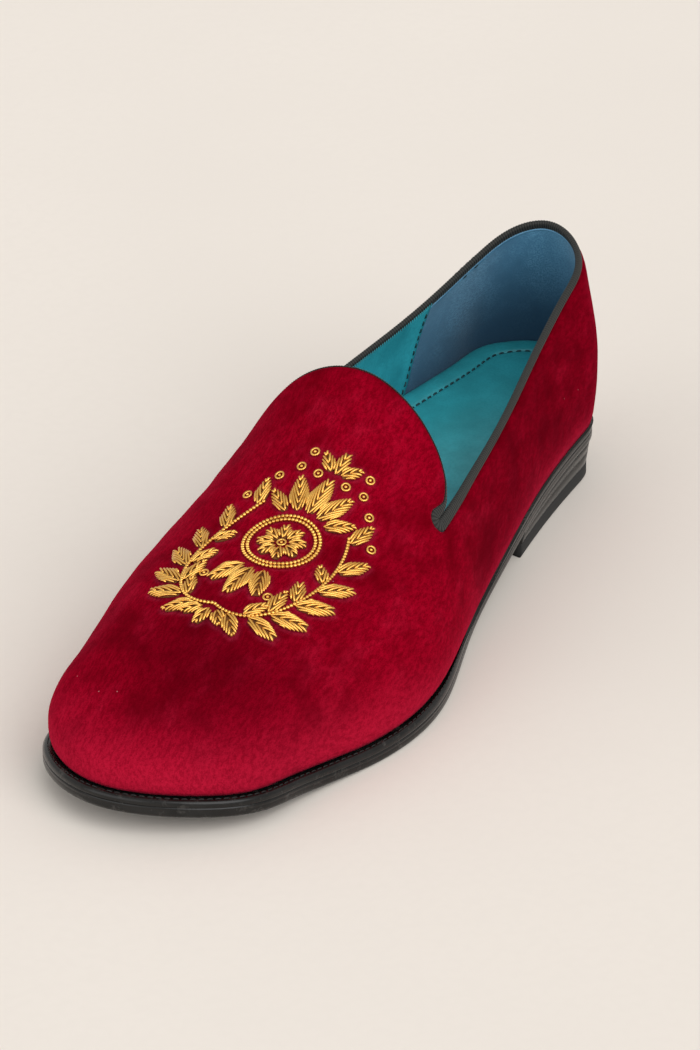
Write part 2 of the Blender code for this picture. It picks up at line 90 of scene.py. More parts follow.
class Section(NamedTuple):
    """Widest outline and wall of the last at one station. Shares are percents."""

    station: float
    back: float
    lateral: float
    medial: float
    tuck_lateral: float
    tuck_medial: float
    rise_lateral: float
    rise_medial: float
    edge_lateral: float
    edge_medial: float
    fullness_lateral: float
    fullness_medial: float


SECTIONS = [
    Section(0.000, 0.0, -1.8, -1.8, 2.5, 2.5, 28.0, 28.0, 0.5, 0.5, 3.00, 3.00),
    Section(0.050, 2.6, 16.0, -17.8, 2.3, 2.3, 25.0, 25.0, 0.5, 0.5, 2.20, 1.80),
    Section(0.140, 9.2, 24.6, -25.0, 2.0, 2.0, 21.5, 22.0, 0.5, 0.5, 1.45, 1.50),
    Section(0.270, 20.8, 27.8, -31.3, 2.0, 4.0, 19.0, 21.5, 0.5, 0.2, 1.50, 1.70),
    Section(0.410, 34.6, 34.0, -38.1, 2.0, 7.5, 17.0, 23.0, 0.2, 0.0, 1.70, 2.10),
    Section(0.550, 48.5, 40.8, -44.1, 1.5, 5.5, 14.5, 19.0, 0.3, 0.0, 1.85, 1.85),
    Section(0.670, 61.7, 49.3, -50.7, 1.8, 2.5, 11.0, 12.0, 2.6, 2.2, 2.10, 2.10),
    Section(0.780, 73.9, 47.0, -47.8, 1.6, 1.6, 9.5, 9.5, 3.2, 3.2, 2.45, 2.45),
    Section(0.880, 86.4, 36.5, -41.4, 1.6, 1.6, 8.0, 8.0, 3.7, 3.7, 2.70, 2.70),
    Section(0.955, 95.9, 23.1, -30.6, 1.6, 1.6, 7.5, 7.5, 3.7, 3.7, 2.80, 2.80),
    Section(1.000, 100.0, -5.7, -5.7, 1.6, 1.6, 7.5, 7.5, 3.7, 3.7, 2.80, 2.80),
]

Knots = list[Spot]
RIDGE: Knots = [
    (-1.4, 128.0), (12.2, 114.5), (25.8, 105.5), (35.9, 103.5), (45.4, 103.0), (56.3, 83.1),
    (66.4, 67.8), (76.6, 61.0), (85.1, 53.1), (92.9, 42.9), (101.4, 28.8),
]
TOPLINE: Knots = [
    (-1.4, 98.0), (8.8, 86.0), (19.0, 76.0), (29.2, 68.6), (39.3, 63.5), (49.5, 60.0), (59.7, 57.0),
]
ARCH: Knots = [
    (-1.4, 100.0), (12.2, 93.0), (22.4, 83.0), (29.2, 69.0), (35.9, 50.0), (42.7, 28.0),
    (49.5, 10.0), (56.3, 2.0), (60.3, 0.0), (73.9, 0.0),
]
SPRING: Knots = [(60.3, 0.0), (73.9, 0.0), (81.7, 15.0), (90.2, 52.0), (101.4, 100.0)]
SPINE: Knots = [(12.9, -1.8), (35.9, -1.8), (63.1, -1.3), (87.5, -5.7)]


def unit(vectors: Array) -> Array:
    """Vectors divided by their lengths."""
    return vectors / np.maximum(np.linalg.norm(vectors, axis=-1, keepdims=True), 1e-9)


def ease(share: Array) -> Array:
    """The smooth step 3t^2 - 2t^3 of a share kept between 0 and 1."""
    kept = np.clip(share, 0, 1)
    return kept * kept * (3 - 2 * kept)


def smooth_through(x: Array, value: Array) -> Callable[[Array], Array]:
    """A curve through rising places x: cubic pieces with harmonic-mean slopes, which never overshoot.

    Args:
        x: places, in rising order.
        value: the curve's value at each.

    Returns:
        A function from an array of places to an array of values.
    """
    step = np.diff(x)
    rise = np.diff(value) / step
    same_way = rise[:-1] * rise[1:] > 0
    pair = np.where(same_way, rise[:-1] + rise[1:], 1)
    inner = np.where(same_way, 2 * rise[:-1] * rise[1:] / pair, 0)
    slope = np.concatenate([rise[:1], inner, rise[-1:]])

    def curve(at: Array) -> Array:
        """The curve's values, kept level past its ends."""
        at = np.clip(at, x[0], x[-1])
        i = np.clip(np.searchsorted(x, at) - 1, 0, len(step) - 1)
        t = (at - x[i]) / step[i]
        leave = t * (1 - t) ** 2 * slope[i] * step[i]
        arrive = t * t * (t - 1) * slope[i + 1] * step[i]
        return value[i] + (value[i + 1] - value[i]) * ease(t) + leave + arrive

    return curve


def ladder(bottom: Array, top: Array, shares: Array) -> Array:
    """Rows from one curve of values to another, straight across at each column."""
    return bottom[..., None] + (top - bottom)[..., None] * shares


def span(rims: list[Array], shares: Array) -> Array:
    """Rows of points from the first line of points to the second, straight across at each column."""
    return rims[0][:, None] + (rims[1] - rims[0])[:, None] * shares[:, None]


def bell(distance: Array, width: Array | float) -> Array:
    """A bell curve: 1 at no distance, and exp(-1) at the width."""
    return np.exp(-((distance / width) ** 2))


def turned(spots: Array, degrees: float) -> Array:
    """Flat points turned about their origin."""
    cos, sin = np.cos(np.radians(degrees)), np.sin(np.radians(degrees))
    return spots @ np.array([[cos, sin], [-sin, cos]])


def toward(degrees: float) -> Array:
    """The flat unit vector at an angle from the first axis."""
    return np.array([np.cos(np.radians(degrees)), np.sin(np.radians(degrees))])


def circle(steps: int) -> Array:
    """Points round a circle of radius 1, the last on the first."""
    turn = np.linspace(0, 2 * np.pi, steps)
    return np.stack([np.cos(turn), np.sin(turn)], -1)


def halve(low: Array, high: Array, holds: Callable[[Array], Array], rounds: int = 40) -> Array:
    """The places between low and high up to which a test holds, found by halving."""
    for _ in range(rounds):
        middle = (low + high) / 2
        under = holds(middle)
        low, high = np.where(under, middle, low), np.where(under, high, middle)
    return low


def joined(sides: list[Array]) -> Array:
    """Rows that run forward on the first side and come back on the second."""
    return np.concatenate([sides[0], sides[1][-2::-1]])


def run_length(points: Array) -> Array:
    """Distance travelled along a row of points, from 0."""
    steps = np.linalg.norm(np.diff(points, axis=0), axis=-1)
    return np.concatenate([[0.0], np.cumsum(steps)])


def along_path(points: Array, at: Array, values: Array | None = None) -> Array:
    """Points, or values kept at the points, read at distances along a path."""
    length = run_length(points)
    columns = (points if values is None else values).T
    return np.stack([np.interp(at, length, column) for column in columns], axis=-1)


def dotted(paths: list[Array], spacing: float) -> Array:
    """Points at an even spacing along each of several paths."""
    return np.concatenate([along_path(path, np.arange(0, run_length(path)[-1], spacing)) for path in paths])


def along_values(values: Array, length: Array, at: Array) -> Array:
    """Rows of values read at the given distances, straight between the rows' own distances."""
    place = np.clip(np.searchsorted(length, at, side="right") - 1, 0, len(length) - 2)
    step = np.maximum(length[place + 1] - length[place], 1e-9)
    share = np.clip((at - length[place]) / step, 0, 1)[:, None]
    return values[place] * (1 - share) + values[place + 1] * share


def distance_to(points: Array, line: Array) -> Array:
    """Distance from each point to the nearest point of a densely drawn line."""
    blocks = np.split(points, range(BLOCK, len(points), BLOCK))
    return np.concatenate([np.sqrt(((block[:, None] - line) ** 2).sum(-1).min(1)) for block in blocks])


@dataclass
class Last:
    """The form that the shoe is made on: a row of ribs from the feather line over to the ridge."""

    length: float = 295.0
    ball_width: float = 102.5
    instep_height: float = 88.5
    heel_height: float = 14.5
    toe_spring: float = 9.0
    heel_back_y: float = 148.5
    outsole_thick: float = 3.5
    welt_thick: float = 2.0

    def __post_init__(self) -> None:
        """Works out the curves once."""
        self.ridge_z = self.smooth_curve(RIDGE, self.instep_height)
        self.topline_z = self.smooth_curve(TOPLINE, self.instep_height)
        self.arch_z = self.smooth_curve(ARCH, self.heel_height)
        self.spring_z = self.smooth_curve(SPRING, self.toe_spring)
        self.spine_x = self.smooth_curve(SPINE, self.ball_width)
        self.girth = self.girth_curve()
        self.shelf = self.outsole_thick + self.welt_thick + 2 * GAP
        self.spine_middle = float(self.back_to_y((SPINE[0][0] + SPINE[-1][0]) / 2))
        self.spine_reach = float(self.back_to_y(SPINE[0][0])) - self.spine_middle

    def back_to_y(self, back: Array | float) -> Array:
        """Turns a percent of the last's length from the back of the heel into y."""
        return self.heel_back_y - self.length * np.asarray(back) / 100

    def smooth_curve(self, knots: Knots, scale: float) -> Callable[[Array], Array]:
        """A function of y through knots along the shoe.

        Args:
            knots: percents back from the heel, and percents of the scale.
            scale: the size in millimetres that is 100 percent.

        Returns:
            A function from an array of y to an array of values.
        """
        back, share = np.array(sorted(knots, reverse=True)).T
        return smooth_through(self.back_to_y(back), share * scale / 100)

    def girth_curve(self) -> Callable[[Array], Array]:
        """A closed cubic spline through the sections, up the lateral side (0 to 1) and back down the medial.

        Returns:
            A function from a place round the outline to x, y, tuck, rise, edge and fullness.
        """
        rows = np.array(SECTIONS)
        back = self.back_to_y(rows[:, 1])
        across = rows[:, 2:4] * self.ball_width / 100
        outer = np.column_stack([across[:, 0], back, rows[:, 4::2]])
        inner = np.column_stack([across[:, 1], back, rows[:, 5::2]])
        knots = np.concatenate([rows[:, 0], 2 - rows[-2:0:-1, 0]])
        values = np.vstack([outer, inner[-2:0:-1]])
        count = len(knots)
        step = np.diff(np.append(knots, knots[0] + 2))
        here = np.arange(count)
        after, before = (here + 1) % count, (here - 1) % count
        matrix = np.zeros((count, count))
        matrix[here, before] += step[before]
        matrix[here, here] += 2 * (step[before] + step)
        matrix[here, after] += step
        slope = (values[after] - values) / step[:, None]
        bends = np.linalg.solve(matrix, 6 * (slope - slope[before]))

        def curve(at: Array) -> Array:
            """The spline's rows of values at places round the outline."""
            at = (np.asarray(at) - knots[0]) % 2 + knots[0]
            i = np.clip(np.searchsorted(knots, at, side="right") - 1, 0, count - 1)
            j = (i + 1) % count
            t = ((at - knots[i]) / step[i])[..., None]
            bend = ((1 - t) ** 3 - (1 - t)) * bends[i] + (t**3 - t) * bends[j]
            return (1 - t) * values[i] + t * values[j] + bend * step[i][..., None] ** 2 / 6

        return curve

    def underside(self, y: Array) -> Array:
        """Height of the outsole's tread face above the floor."""
        return self.arch_z(y) + self.spring_z(y)

    def over(self, plan: Array, height: Array | float) -> Array:
        """Points of a plan at a height over the outsole's tread face."""
        return np.concatenate([plan, (self.underside(plan[..., 1]) + height)[..., None]], axis=-1)

    def outline(self, station: Array, side: Side) -> tuple[Array, Array, Array]:
        """The widest outline at each station.

        Args:
            station: 0 at the back of the heel to 1 at the tip of the toe.
            side: the side of the foot.

        Returns:
            Points in plan, outward normals in plan, and the tuck, rise, edge and fullness columns.
        """
        around = station if side is Side.LATERAL else 2 - station
        row = self.girth(around)
        along = unit(self.girth(around + STEP)[..., :2] - self.girth(around - STEP)[..., :2])
        return row[..., :2], np.stack([-along[..., 1], along[..., 0]], axis=-1), row[..., 2:]

    def point(self, station: Array, side: Side, rise: Array) -> Array:
        """Points on the last: tucked in below the widest outline, and a super-elliptic arc above it.

        Args:
            station: 0 at the back of the heel to 1 at the tip of the toe.
            side: the side of the foot.
            rise: -1 on the feather line, 0 on the widest outline and 1 on the ridge.

        Returns:
            Points in millimetres, with x, y and z on the last axis.
        """
        station, rise = np.broadcast_arrays(station, rise)
        wide, normal, wall = self.outline(station, side)
        tuck, lift, _, fullness = np.moveaxis(wall, -1, 0)
        low = np.clip(-rise, 0, 1)
        high = np.clip(rise, 0, 1) * np.pi / 2
        spine_y = self.spine_middle + self.spine_reach * np.cos(np.pi * station)
        spine = np.stack([self.spine_x(spine_y), spine_y], axis=-1)
        plan = wide + (spine - wide) * (1 - np.cos(high))[..., None]
        plan = plan - normal * (tuck * low**2.2)[..., None]
        feather = wide - normal * tuck[..., None]
        foot = self.underside(feather[..., 1]) + self.shelf
        crown = self.ridge_z(plan[..., 1]) - foot - lift
        z = foot + lift + crown * np.sin(high) ** (2 / fullness) - lift * low
        return np.concatenate([plan, z[..., None]], axis=-1)

    def normal(self, station: Array, side: Side, rise: Array) -> Array:
        """Outward unit normals of the last, from the cross product of steps up and along it."""
        station, rise = np.broadcast_arrays(station, rise)
        top, foot = np.clip(rise + STEP, -1, 1), np.clip(rise - STEP, -1, 1)
        up = self.point(station, side, top) - self.point(station, side, foot)
        along = self.point(station + STEP, side, rise) - self.point(station - STEP, side, rise)
        return unit(np.cross(up, along)) * side.value

    def even_stations(self, start: float, end: float, count: int) -> Array:
        """Stations spaced evenly along the mean of the two outlines, from start to end."""
        fine = np.linspace(start, end, 2000)
        mean = np.mean([run_length(self.outline(fine, side)[0]) for side in Side], axis=0)
        return np.interp(np.linspace(0, mean[-1], count), mean, fine)


@dataclass
class Opening:
    """The edge of the foot opening on one side, and lines set back from it over the last's surface.

    The edge runs from the back of the heel along the quarter to the V notch, then up the tongue to its tip.
    A line is a pair of arrays, stations and rises.
    """

    last: Last
    side: Side
    quarter_steps: int = 90
    tongue_steps: int = 46
    turn_steps: int = 14
    tongue_knots: int = 10
    v_notch: float = 53.0
    tongue_tip: float = 47.5
    tongue_shoulder: float = 2.1
    tongue_roundness: float = 0.31
    depth: float = 2.2
    v_depth: float = 4.0
    setback: float = 0.8
    widening: float = 0.35

    def __post_init__(self) -> None:
        """Finds the V notch and the tip of the tongue on the last."""
        self.v_y = float(self.last.back_to_y(self.v_notch))
        self.v_z = float(self.last.topline_z(np.array(self.v_y)))
        self.tip_y = float(self.last.back_to_y(self.tongue_tip))
        cosine = (self.tip_y - self.last.spine_middle) / self.last.spine_reach
        self.tip_station = float(np.arccos(cosine) / np.pi)
        self.v_station = self.find_v_station()
        even = self.last.even_stations(0, self.v_station, self.quarter_steps)
        self.quarter_shares = even / self.v_station
        self.tongue_shares = np.linspace(0, 1, self.tongue_steps)
        self.v_first = self.quarter_steps - 1
        self.v_last = self.v_first + self.turn_steps

    def find_v_station(self) -> float:
        """The station whose rib meets the quarter's edge at the V notch."""

        def behind(station: Array) -> Array:
            """Whether the quarter's edge is still behind the V notch at a station."""
            rise = self.rise_below(station, self.last.topline_z)
            return self.last.point(station, self.side, rise)[..., 1] > self.v_y

        return float(halve(np.array(0.4), np.array(0.8), behind))

    def tongue_z(self, y: Array) -> Array:
        """Height of the tongue's edge: from the V notch up to the ridge, and round over the ridge."""
        along = np.clip((y - self.v_y) / (self.tip_y - self.v_y), 0, 1)
        crown = self.last.ridge_z(y)
        return crown - (crown - self.v_z) * (1 - along**self.tongue_shoulder) ** self.tongue_roundness

    def rise_below(self, station: Array, height: Callable[[Array], Array]) -> Array:
        """The rise where each rib passes a height that is a function of y."""

        def under(rise: Array) -> Array:
            """Whether each rib is still below the height at a rise."""
            spot = self.last.point(station, self.side, rise)
            return spot[..., 2] < height(spot[..., 1])

        return halve(np.zeros_like(station), np.ones_like(station), under)

    def edge(self) -> Pair:
        """Stations and rises of the edge, with the V notch repeated where set-back lines turn round it."""
        quarter = self.v_station * self.quarter_shares
        quarter_rise = self.rise_below(quarter, self.last.topline_z)
        knots = np.linspace(0, 1, self.tongue_knots)
        reach = self.tip_station - self.v_station
        knot_rise = self.rise_below(self.v_station + reach * np.sin(knots * np.pi / 2), self.tongue_z)
        knot_rise[0], knot_rise[-1] = quarter_rise[-1], 1
        tongue = self.v_station + reach * np.sin(self.tongue_shares * np.pi / 2)
        tongue_rise = smooth_through(knots, knot_rise)(self.tongue_shares)
        turn = np.ones(self.turn_steps - 1)
        stations = np.concatenate([quarter, turn * self.v_station, tongue])
        return stations, np.concatenate([quarter_rise, turn * quarter_rise[-1], tongue_rise])

    def quarter_rise(self, width: float, stations: Array) -> Array:
        """Rises, at stations of the quarter, of the line set back from its edge by a width."""
        station, rise = self.set_back(width)
        return np.interp(stations, station[: self.v_first], rise[: self.v_first])

    def band(self) -> Array:
        """Width of the binding's outer face at each point of the edge."""
        width = np.full(self.v_last + self.tongue_steps, self.v_depth)
        nearing = np.clip((self.quarter_shares - 1) / self.widening + 1, 0, 1) ** 2
        leaving = np.clip(1 - self.tongue_shares / self.widening, 0, 1) ** 2
        width[: self.v_first + 1] = self.depth + (self.v_depth - self.depth) * nearing
        width[self.v_last :] = self.setback + (self.v_depth - self.setback) * leaving
        return width

    def set_back(self, width: Array | float) -> Pair:
        """The line at a width from the edge, square to it along the surface, with a fan round the V notch.

        Args:
            width: how far back the line lies, in all or at each point.

        Returns:
            Stations and rises of the line, moved onto the last by Newton steps.
        """
        station, rise = self.edge()
        first, last = self.v_first, self.v_last
        spot = self.last.point(station, self.side, rise)
        normal = self.last.normal(station, self.side, rise)
        along = np.gradient(spot, axis=0)
        along[0] = (self.side.value, 0, 0)
        along[-1] = (-self.side.value, 0, 0)
        along[first:last] = spot[first] - spot[first - 1]
        along[last] = spot[last + 1] - spot[last]
        into = unit(np.cross(normal, along)) * self.side.value
        turn = np.linspace(0, 1, self.turn_steps + 1)
        start, end = into[first], into[last]
        angle = np.arccos(np.clip(start @ end, -1, 1))
        fan = np.outer(np.sin((1 - turn) * angle), start) + np.outer(np.sin(turn * angle), end)
        into[first : last + 1] = unit(fan)
        target = spot + into * np.reshape(width, (-1, 1))
        free = np.ones((len(station), 1, 2))
        free[0, 0, 0] = free[-1, 0, 1] = 0
        for _ in range(6):
            spot = self.last.point(station, self.side, rise)
            by_station = (self.last.point(station + FINE_STEP, self.side, rise) - spot) / FINE_STEP
            by_rise = (spot - self.last.point(station, self.side, rise - FINE_STEP)) / FINE_STEP
            slide = np.linalg.pinv(np.stack([by_station, by_rise], axis=-1) * free)
            move = np.einsum("nij,nj->ni", slide, target - spot)
            station = station + move[:, 0]
            rise = np.minimum(rise + move[:, 1], 1)
        return station, rise


class Surface:
    """Grids of points sewn into one mesh, each with its own map of the surface in millimetres."""

    def __init__(self) -> None:
        """Starts with no grids."""
        self.points: list[Array] = []
        self.faces: list[Array] = []
        self.maps: list[Array] = []

    def add(self, grid: Array, flip: bool = False, uv: Array | None = None) -> None:
        """Adds a grid of points, or a stack of such grids.

        Args:
            grid: points with columns and rows on the axes before the last.
            flip: turns the faces over.
            uv: a map of the same shape, with two values a point.
        """
        grids = grid.reshape(-1, *grid.shape[-3:])
        start = sum(len(part) for part in self.points)
        index = start + np.arange(grids[..., 0].size).reshape(grids.shape[:-1])
        corners = [index[:, :-1, :-1], index[:, 1:, :-1], index[:, 1:, 1:], index[:, :-1, 1:]]
        faces = np.stack(corners, axis=-1).reshape(-1, 4)
        self.points.append(grids.reshape(-1, 3))
        self.faces.append(faces[:, ::-1] if flip else faces)
        self.maps.append(np.zeros((grids[..., 0].size, 2)) if uv is None else uv.reshape(-1, 2))

    def close(self, levels: list[Array]) -> None:
        """Adds a closed body between the first grid and the last, with the rims of all as its sides."""
        self.add(levels[0])
        self.add(levels[-1], flip=True)
        stack = np.stack(levels)
        for rim in (stack[:, :, 0], stack[:, -1, :], stack[:, ::-1, -1], stack[:, 0, ::-1]):
            self.add(np.swapaxes(rim, 0, 1))

    def piece(self, name: str, merge: float = 0.02, outward: bool = False) -> Piece:
        """Makes the sewn mesh an object in the scene.

        Args:
            name: the piece's name.
            merge: points nearer than this are joined.
            outward: turns a closed mesh's faces outwards after the merge.

        Returns:
            The new object, at the origin.
        """
        mesh = bpy.data.meshes.new(name)
        faces = np.concatenate(self.faces)
        mesh.from_pydata(np.vstack(self.points) * MM, [], faces.tolist())
        layer = mesh.uv_layers.new(name="map")
        layer.data.foreach_set("uv", np.concatenate(self.maps)[faces.ravel()].ravel())
        work = bmesh.new()
        work.from_mesh(mesh)
        bmesh.ops.remove_doubles(work, verts=work.verts, dist=merge * MM)
        bmesh.ops.dissolve_degenerate(work, edges=work.edges, dist=0.5 * merge * MM)
        if outward:
            bmesh.ops.recalc_face_normals(work, faces=work.faces)
        work.to_mesh(mesh)
        work.free()
        piece = bpy.data.objects.new(name, mesh)
        bpy.context.scene.collection.objects.link(piece)
        mesh.shade_smooth()
        return piece


def places(piece: Piece, what: str = "co") -> Array:
    """A piece's vertex places in millimetres, or its vertex normals."""
    values = np.empty(len(piece.data.vertices) * 3)
    piece.data.vertices.foreach_get(what, values)
    return values.reshape(-1, 3) / (MM if what == "co" else 1)


def move_to(piece: Piece, points: Array) -> None:
    """Puts a piece's vertices at places in millimetres."""
    piece.data.vertices.foreach_set("co", (points * MM).ravel())
    piece.data.update()


def note(piece: Piece, name: str, values: Array) -> None:
    """Keeps one number a vertex on the mesh, for its material."""
    layer = piece.data.attributes.new(name, "FLOAT", "POINT")
    layer.data.foreach_set("value", values.astype(np.float32))


def wall(piece: Piece, thickness: float) -> None:
    """Gives an open sheet its thickness, inwards."""
    solid = piece.modifiers.new("wall", "SOLIDIFY")
    solid.thickness = thickness * MM
    solid.offset = -1
    solid.use_quality_normals = True


def slab(name: str, levels: list[Array]) -> Piece:
    """A closed body between the first grid and the last."""
    surface = Surface()
    surface.close(levels)
    return surface.piece(name, outward=True)


def tubes(centre: Array, side: Array, up: Array, radius: Array, ring: int = 6) -> Pair:
    """Rings of an ellipse carried along many paths at once.

    Args:
        centre: path points, with shape paths, steps, 3.
        side: unit vectors across each path point, in the surface.
        up: unit vectors off the surface.
        radius: half width at each step, or half width and half height.
        ring: points round the tube.

    Returns:
        A stack of grids, and their map: distance along the path, and place round it.
    """
    radius = radius.reshape(len(radius), 1, -1)
    turn = np.linspace(0, 2 * np.pi, ring + 1)
    across = side[:, :, None] * np.cos(turn)[:, None] * radius[..., :1]
    rise = up[:, :, None] * np.sin(turn)[:, None] * radius[..., -1:]
    steps = np.linalg.norm(np.diff(centre, axis=1, prepend=centre[:, :1]), axis=-1)
    length = np.cumsum(steps, axis=1)[..., None]
    return centre[:, :, None] + across + rise, np.stack(np.broadcast_arrays(length, turn), axis=-1)


Link = bpy.types.NodeSocket
Value = float | Colour | Link
Inputs = dict[str | int, Value]


class Graph:
    """A node tree that is written as nested calls: each call adds a node and gives back its outputs."""

    def __init__(self, tree: bpy.types.NodeTree) -> None:
        """Works on a material's tree or on a group's."""
        self.tree = tree

    def node(self, kind: str, inputs: Inputs | None = None, **settings: object) -> bpy.types.Node:
        """Adds a node.

        Args:
            kind: the node's type, without its ShaderNode prefix.
            inputs: a value or a link for each named or numbered socket.
            settings: the node's own properties.

        Returns:
            The new node.
        """
        made = self.tree.nodes.new(f"ShaderNode{kind}")
        for name, value in settings.items():
            setattr(made, name, value)
        for name, value in (inputs or {}).items():
            socket = made.inputs[name]
            if isinstance(value, bpy.types.NodeSocket):
                self.tree.links.new(value, socket)
            elif isinstance(value, tuple) and socket.type == "RGBA":
                socket.default_value = (*value, 1)
            else:
                socket.default_value = value
        return made

    def math(self, operation: str, first: Value, second: Value = 0.0, third: Value = 0.0) -> Link:
        """A number worked out from up to three others."""
        return self.node("Math", {0: first, 1: second, 2: third}, operation=operation).outputs[0]

    def times(self, first: Value, second: Value) -> Link:
        """The product of two numbers."""
        return self.math("MULTIPLY", first, second)

    def line(self, value: Value, slope: Value, start: Value) -> Link:
        """A number times a slope, plus a start."""
        return self.math("MULTIPLY_ADD", value, slope, start)

    def wave(self, value: Value, pitch: float, shift: Value = 0.0) -> Link:
        """A sine that repeats at a pitch of the value."""
        return self.math("SINE", self.line(value, 2 * np.pi / pitch, shift))

    def between(self, value: Link, low: float, high: float) -> Link:
        """A share from 0 to 1 as the value goes from low to high, smoothly."""
        inputs = {"Value": value, "From Min": low, "From Max": high}
        return self.node("MapRange", inputs, interpolation_type="SMOOTHSTEP").outputs["Result"]

    def mix(self, share: Value, first: Value, second: Value) -> Link:
        """A colour between two others."""
        return self.node("Mix", {0: share, 6: first, 7: second}, data_type="RGBA").outputs[2]

    def per_metre(self, size: Value) -> Link:
        """How often a texture repeats in a metre, for patches of a size in millimetres."""
        return self.math("DIVIDE", 1 / MM, size)

    def noise(self, where: Link, size: Value, detail: float = 2.0, rough: float = 0.5) -> Link:
        """Cloudy noise whose patches are about size millimetres across."""
        inputs = {"Vector": where, "Scale": self.per_metre(size), "Detail": detail, "Roughness": rough}
        return self.node("TexNoise", inputs).outputs["Fac"]

    def stretched(self, where: Link, turn: Triple, stretch: Triple) -> Link:
        """Coordinates turned and stretched, so that a texture read there runs in one direction."""
        inputs = {"Vector": where, "Rotation": turn, "Scale": stretch}
        return self.node("Mapping", inputs).outputs[0]

    def attribute(self, name: str) -> Link:
        """One of the numbers kept on the mesh."""
        return self.node("Attribute", attribute_name=name).outputs["Fac"]

    def mapped(self) -> tuple[Link, Link]:
        """The two values of the mesh's own map."""
        parts = self.node("SeparateXYZ", {0: self.node("UVMap", uv_map="map").outputs[0]}).outputs
        return parts[0], parts[1]


class Group:
    """A shader effect that several finishes share, made once as a node group."""

    name = "group"
    takes: dict[str, str] = {}
    gives: dict[str, str] = {}

    @classmethod
    def tree(cls) -> bpy.types.NodeTree:
        """The group's tree, made at the first call."""
        if cls.name in bpy.data.node_groups:
            return bpy.data.node_groups[cls.name]
        tree = bpy.data.node_groups.new(cls.name, "ShaderNodeTree")
        for in_out, sockets in (("INPUT", cls.takes), ("OUTPUT", cls.gives)):
            for name, kind in sockets.items():
                tree.interface.new_socket(name, in_out=in_out, socket_type=f"NodeSocket{kind}")
        start, end = tree.nodes.new("NodeGroupInput"), tree.nodes.new("NodeGroupOutput")
        for name, link in cls.fill(Graph(tree), start.outputs).items():
            tree.links.new(link, end.inputs[name])
        return tree

    @classmethod
    def fill(cls, graph: Graph, given: bpy.types.bpy_prop_collection) -> dict[str, Link]:
        """Adds the group's nodes and gives back a link for each output."""
        raise NotImplementedError

    @classmethod
    def use(cls, graph: Graph, inputs: dict[str, Value]) -> dict[str, Link]:
        """Places the group in a material, with its own values."""
        made = graph.node("Group", inputs, node_tree=cls.tree())
        return {output.name: output for output in made.outputs}


class Mottle(Group):
    """Two tones in soft patches, with smaller ones inside them."""

    name = "mottle"
    takes = {"Vector": "Vector", "Deep": "Color", "Light": "Color", "Size": "Float", "Lean": "Float"}
    gives = {"Color": "Color", "Mask": "Float"}

    @classmethod
    def fill(cls, graph: Graph, given: bpy.types.bpy_prop_collection) -> dict[str, Link]:
        """Mixes the tones by large patches plus half as much of patches a third as wide."""
        broad = graph.noise(given["Vector"], given["Size"], 3.0, 0.6)
        small = graph.noise(given["Vector"], graph.math("DIVIDE", given["Size"], 3.3), 2.0, 0.5)
        both = graph.math("ADD", graph.times(broad, 0.68), graph.times(small, 0.32))
        mask = graph.between(graph.math("ADD", both, given["Lean"]), 0.36, 0.64)
        return {"Color": graph.mix(mask, given["Deep"], given["Light"]), "Mask": mask}


class Grain(Group):
    """The pores and fine creases of leather, as a height and a mask of the pores."""

    name = "grain"
    takes = {"Vector": "Vector", "Size": "Float"}
    gives = {"Height": "Float", "Pores": "Float"}

    @classmethod
    def fill(cls, graph: Graph, given: bpy.types.bpy_prop_collection) -> dict[str, Link]:
        """Cells a grain wide, uneven from fine noise, with creases along the cells' edges."""
        wobble = graph.noise(given["Vector"], given["Size"])
        inputs = {"Vector": given["Vector"], "Scale": graph.per_metre(given["Size"])}
        cells = graph.node("TexVoronoi", inputs, feature="SMOOTH_F1").outputs["Distance"]
        pores = graph.between(cells, 0.25, 0.75)
        height = graph.line(wobble, 0.6, graph.times(pores, -0.5))
        return {"Height": height, "Pores": pores}


class Flecks(Group):
    """A sparse scatter of small specks, such as lint or dust."""

    name = "flecks"
    takes = {"Vector": "Vector", "Spacing": "Float", "Width": "Float"}
    gives = {"Mask": "Float"}

    @classmethod
    def fill(cls, graph: Graph, given: bpy.types.bpy_prop_collection) -> dict[str, Link]:
        """Keeps the middles of scattered cells, and of those only where a second noise is high."""
        inputs = {"Vector": given["Vector"], "Scale": graph.per_metre(given["Spacing"])}
        cells = graph.node("TexVoronoi", inputs).outputs
        share = graph.math("DIVIDE", given["Width"], given["Spacing"])
        near = graph.math("LESS_THAN", cells["Distance"], share)
        chance = graph.node("SeparateColor", {0: cells["Color"]}).outputs[0]
        return {"Mask": graph.times(near, graph.math("GREATER_THAN", chance, 0.55))}


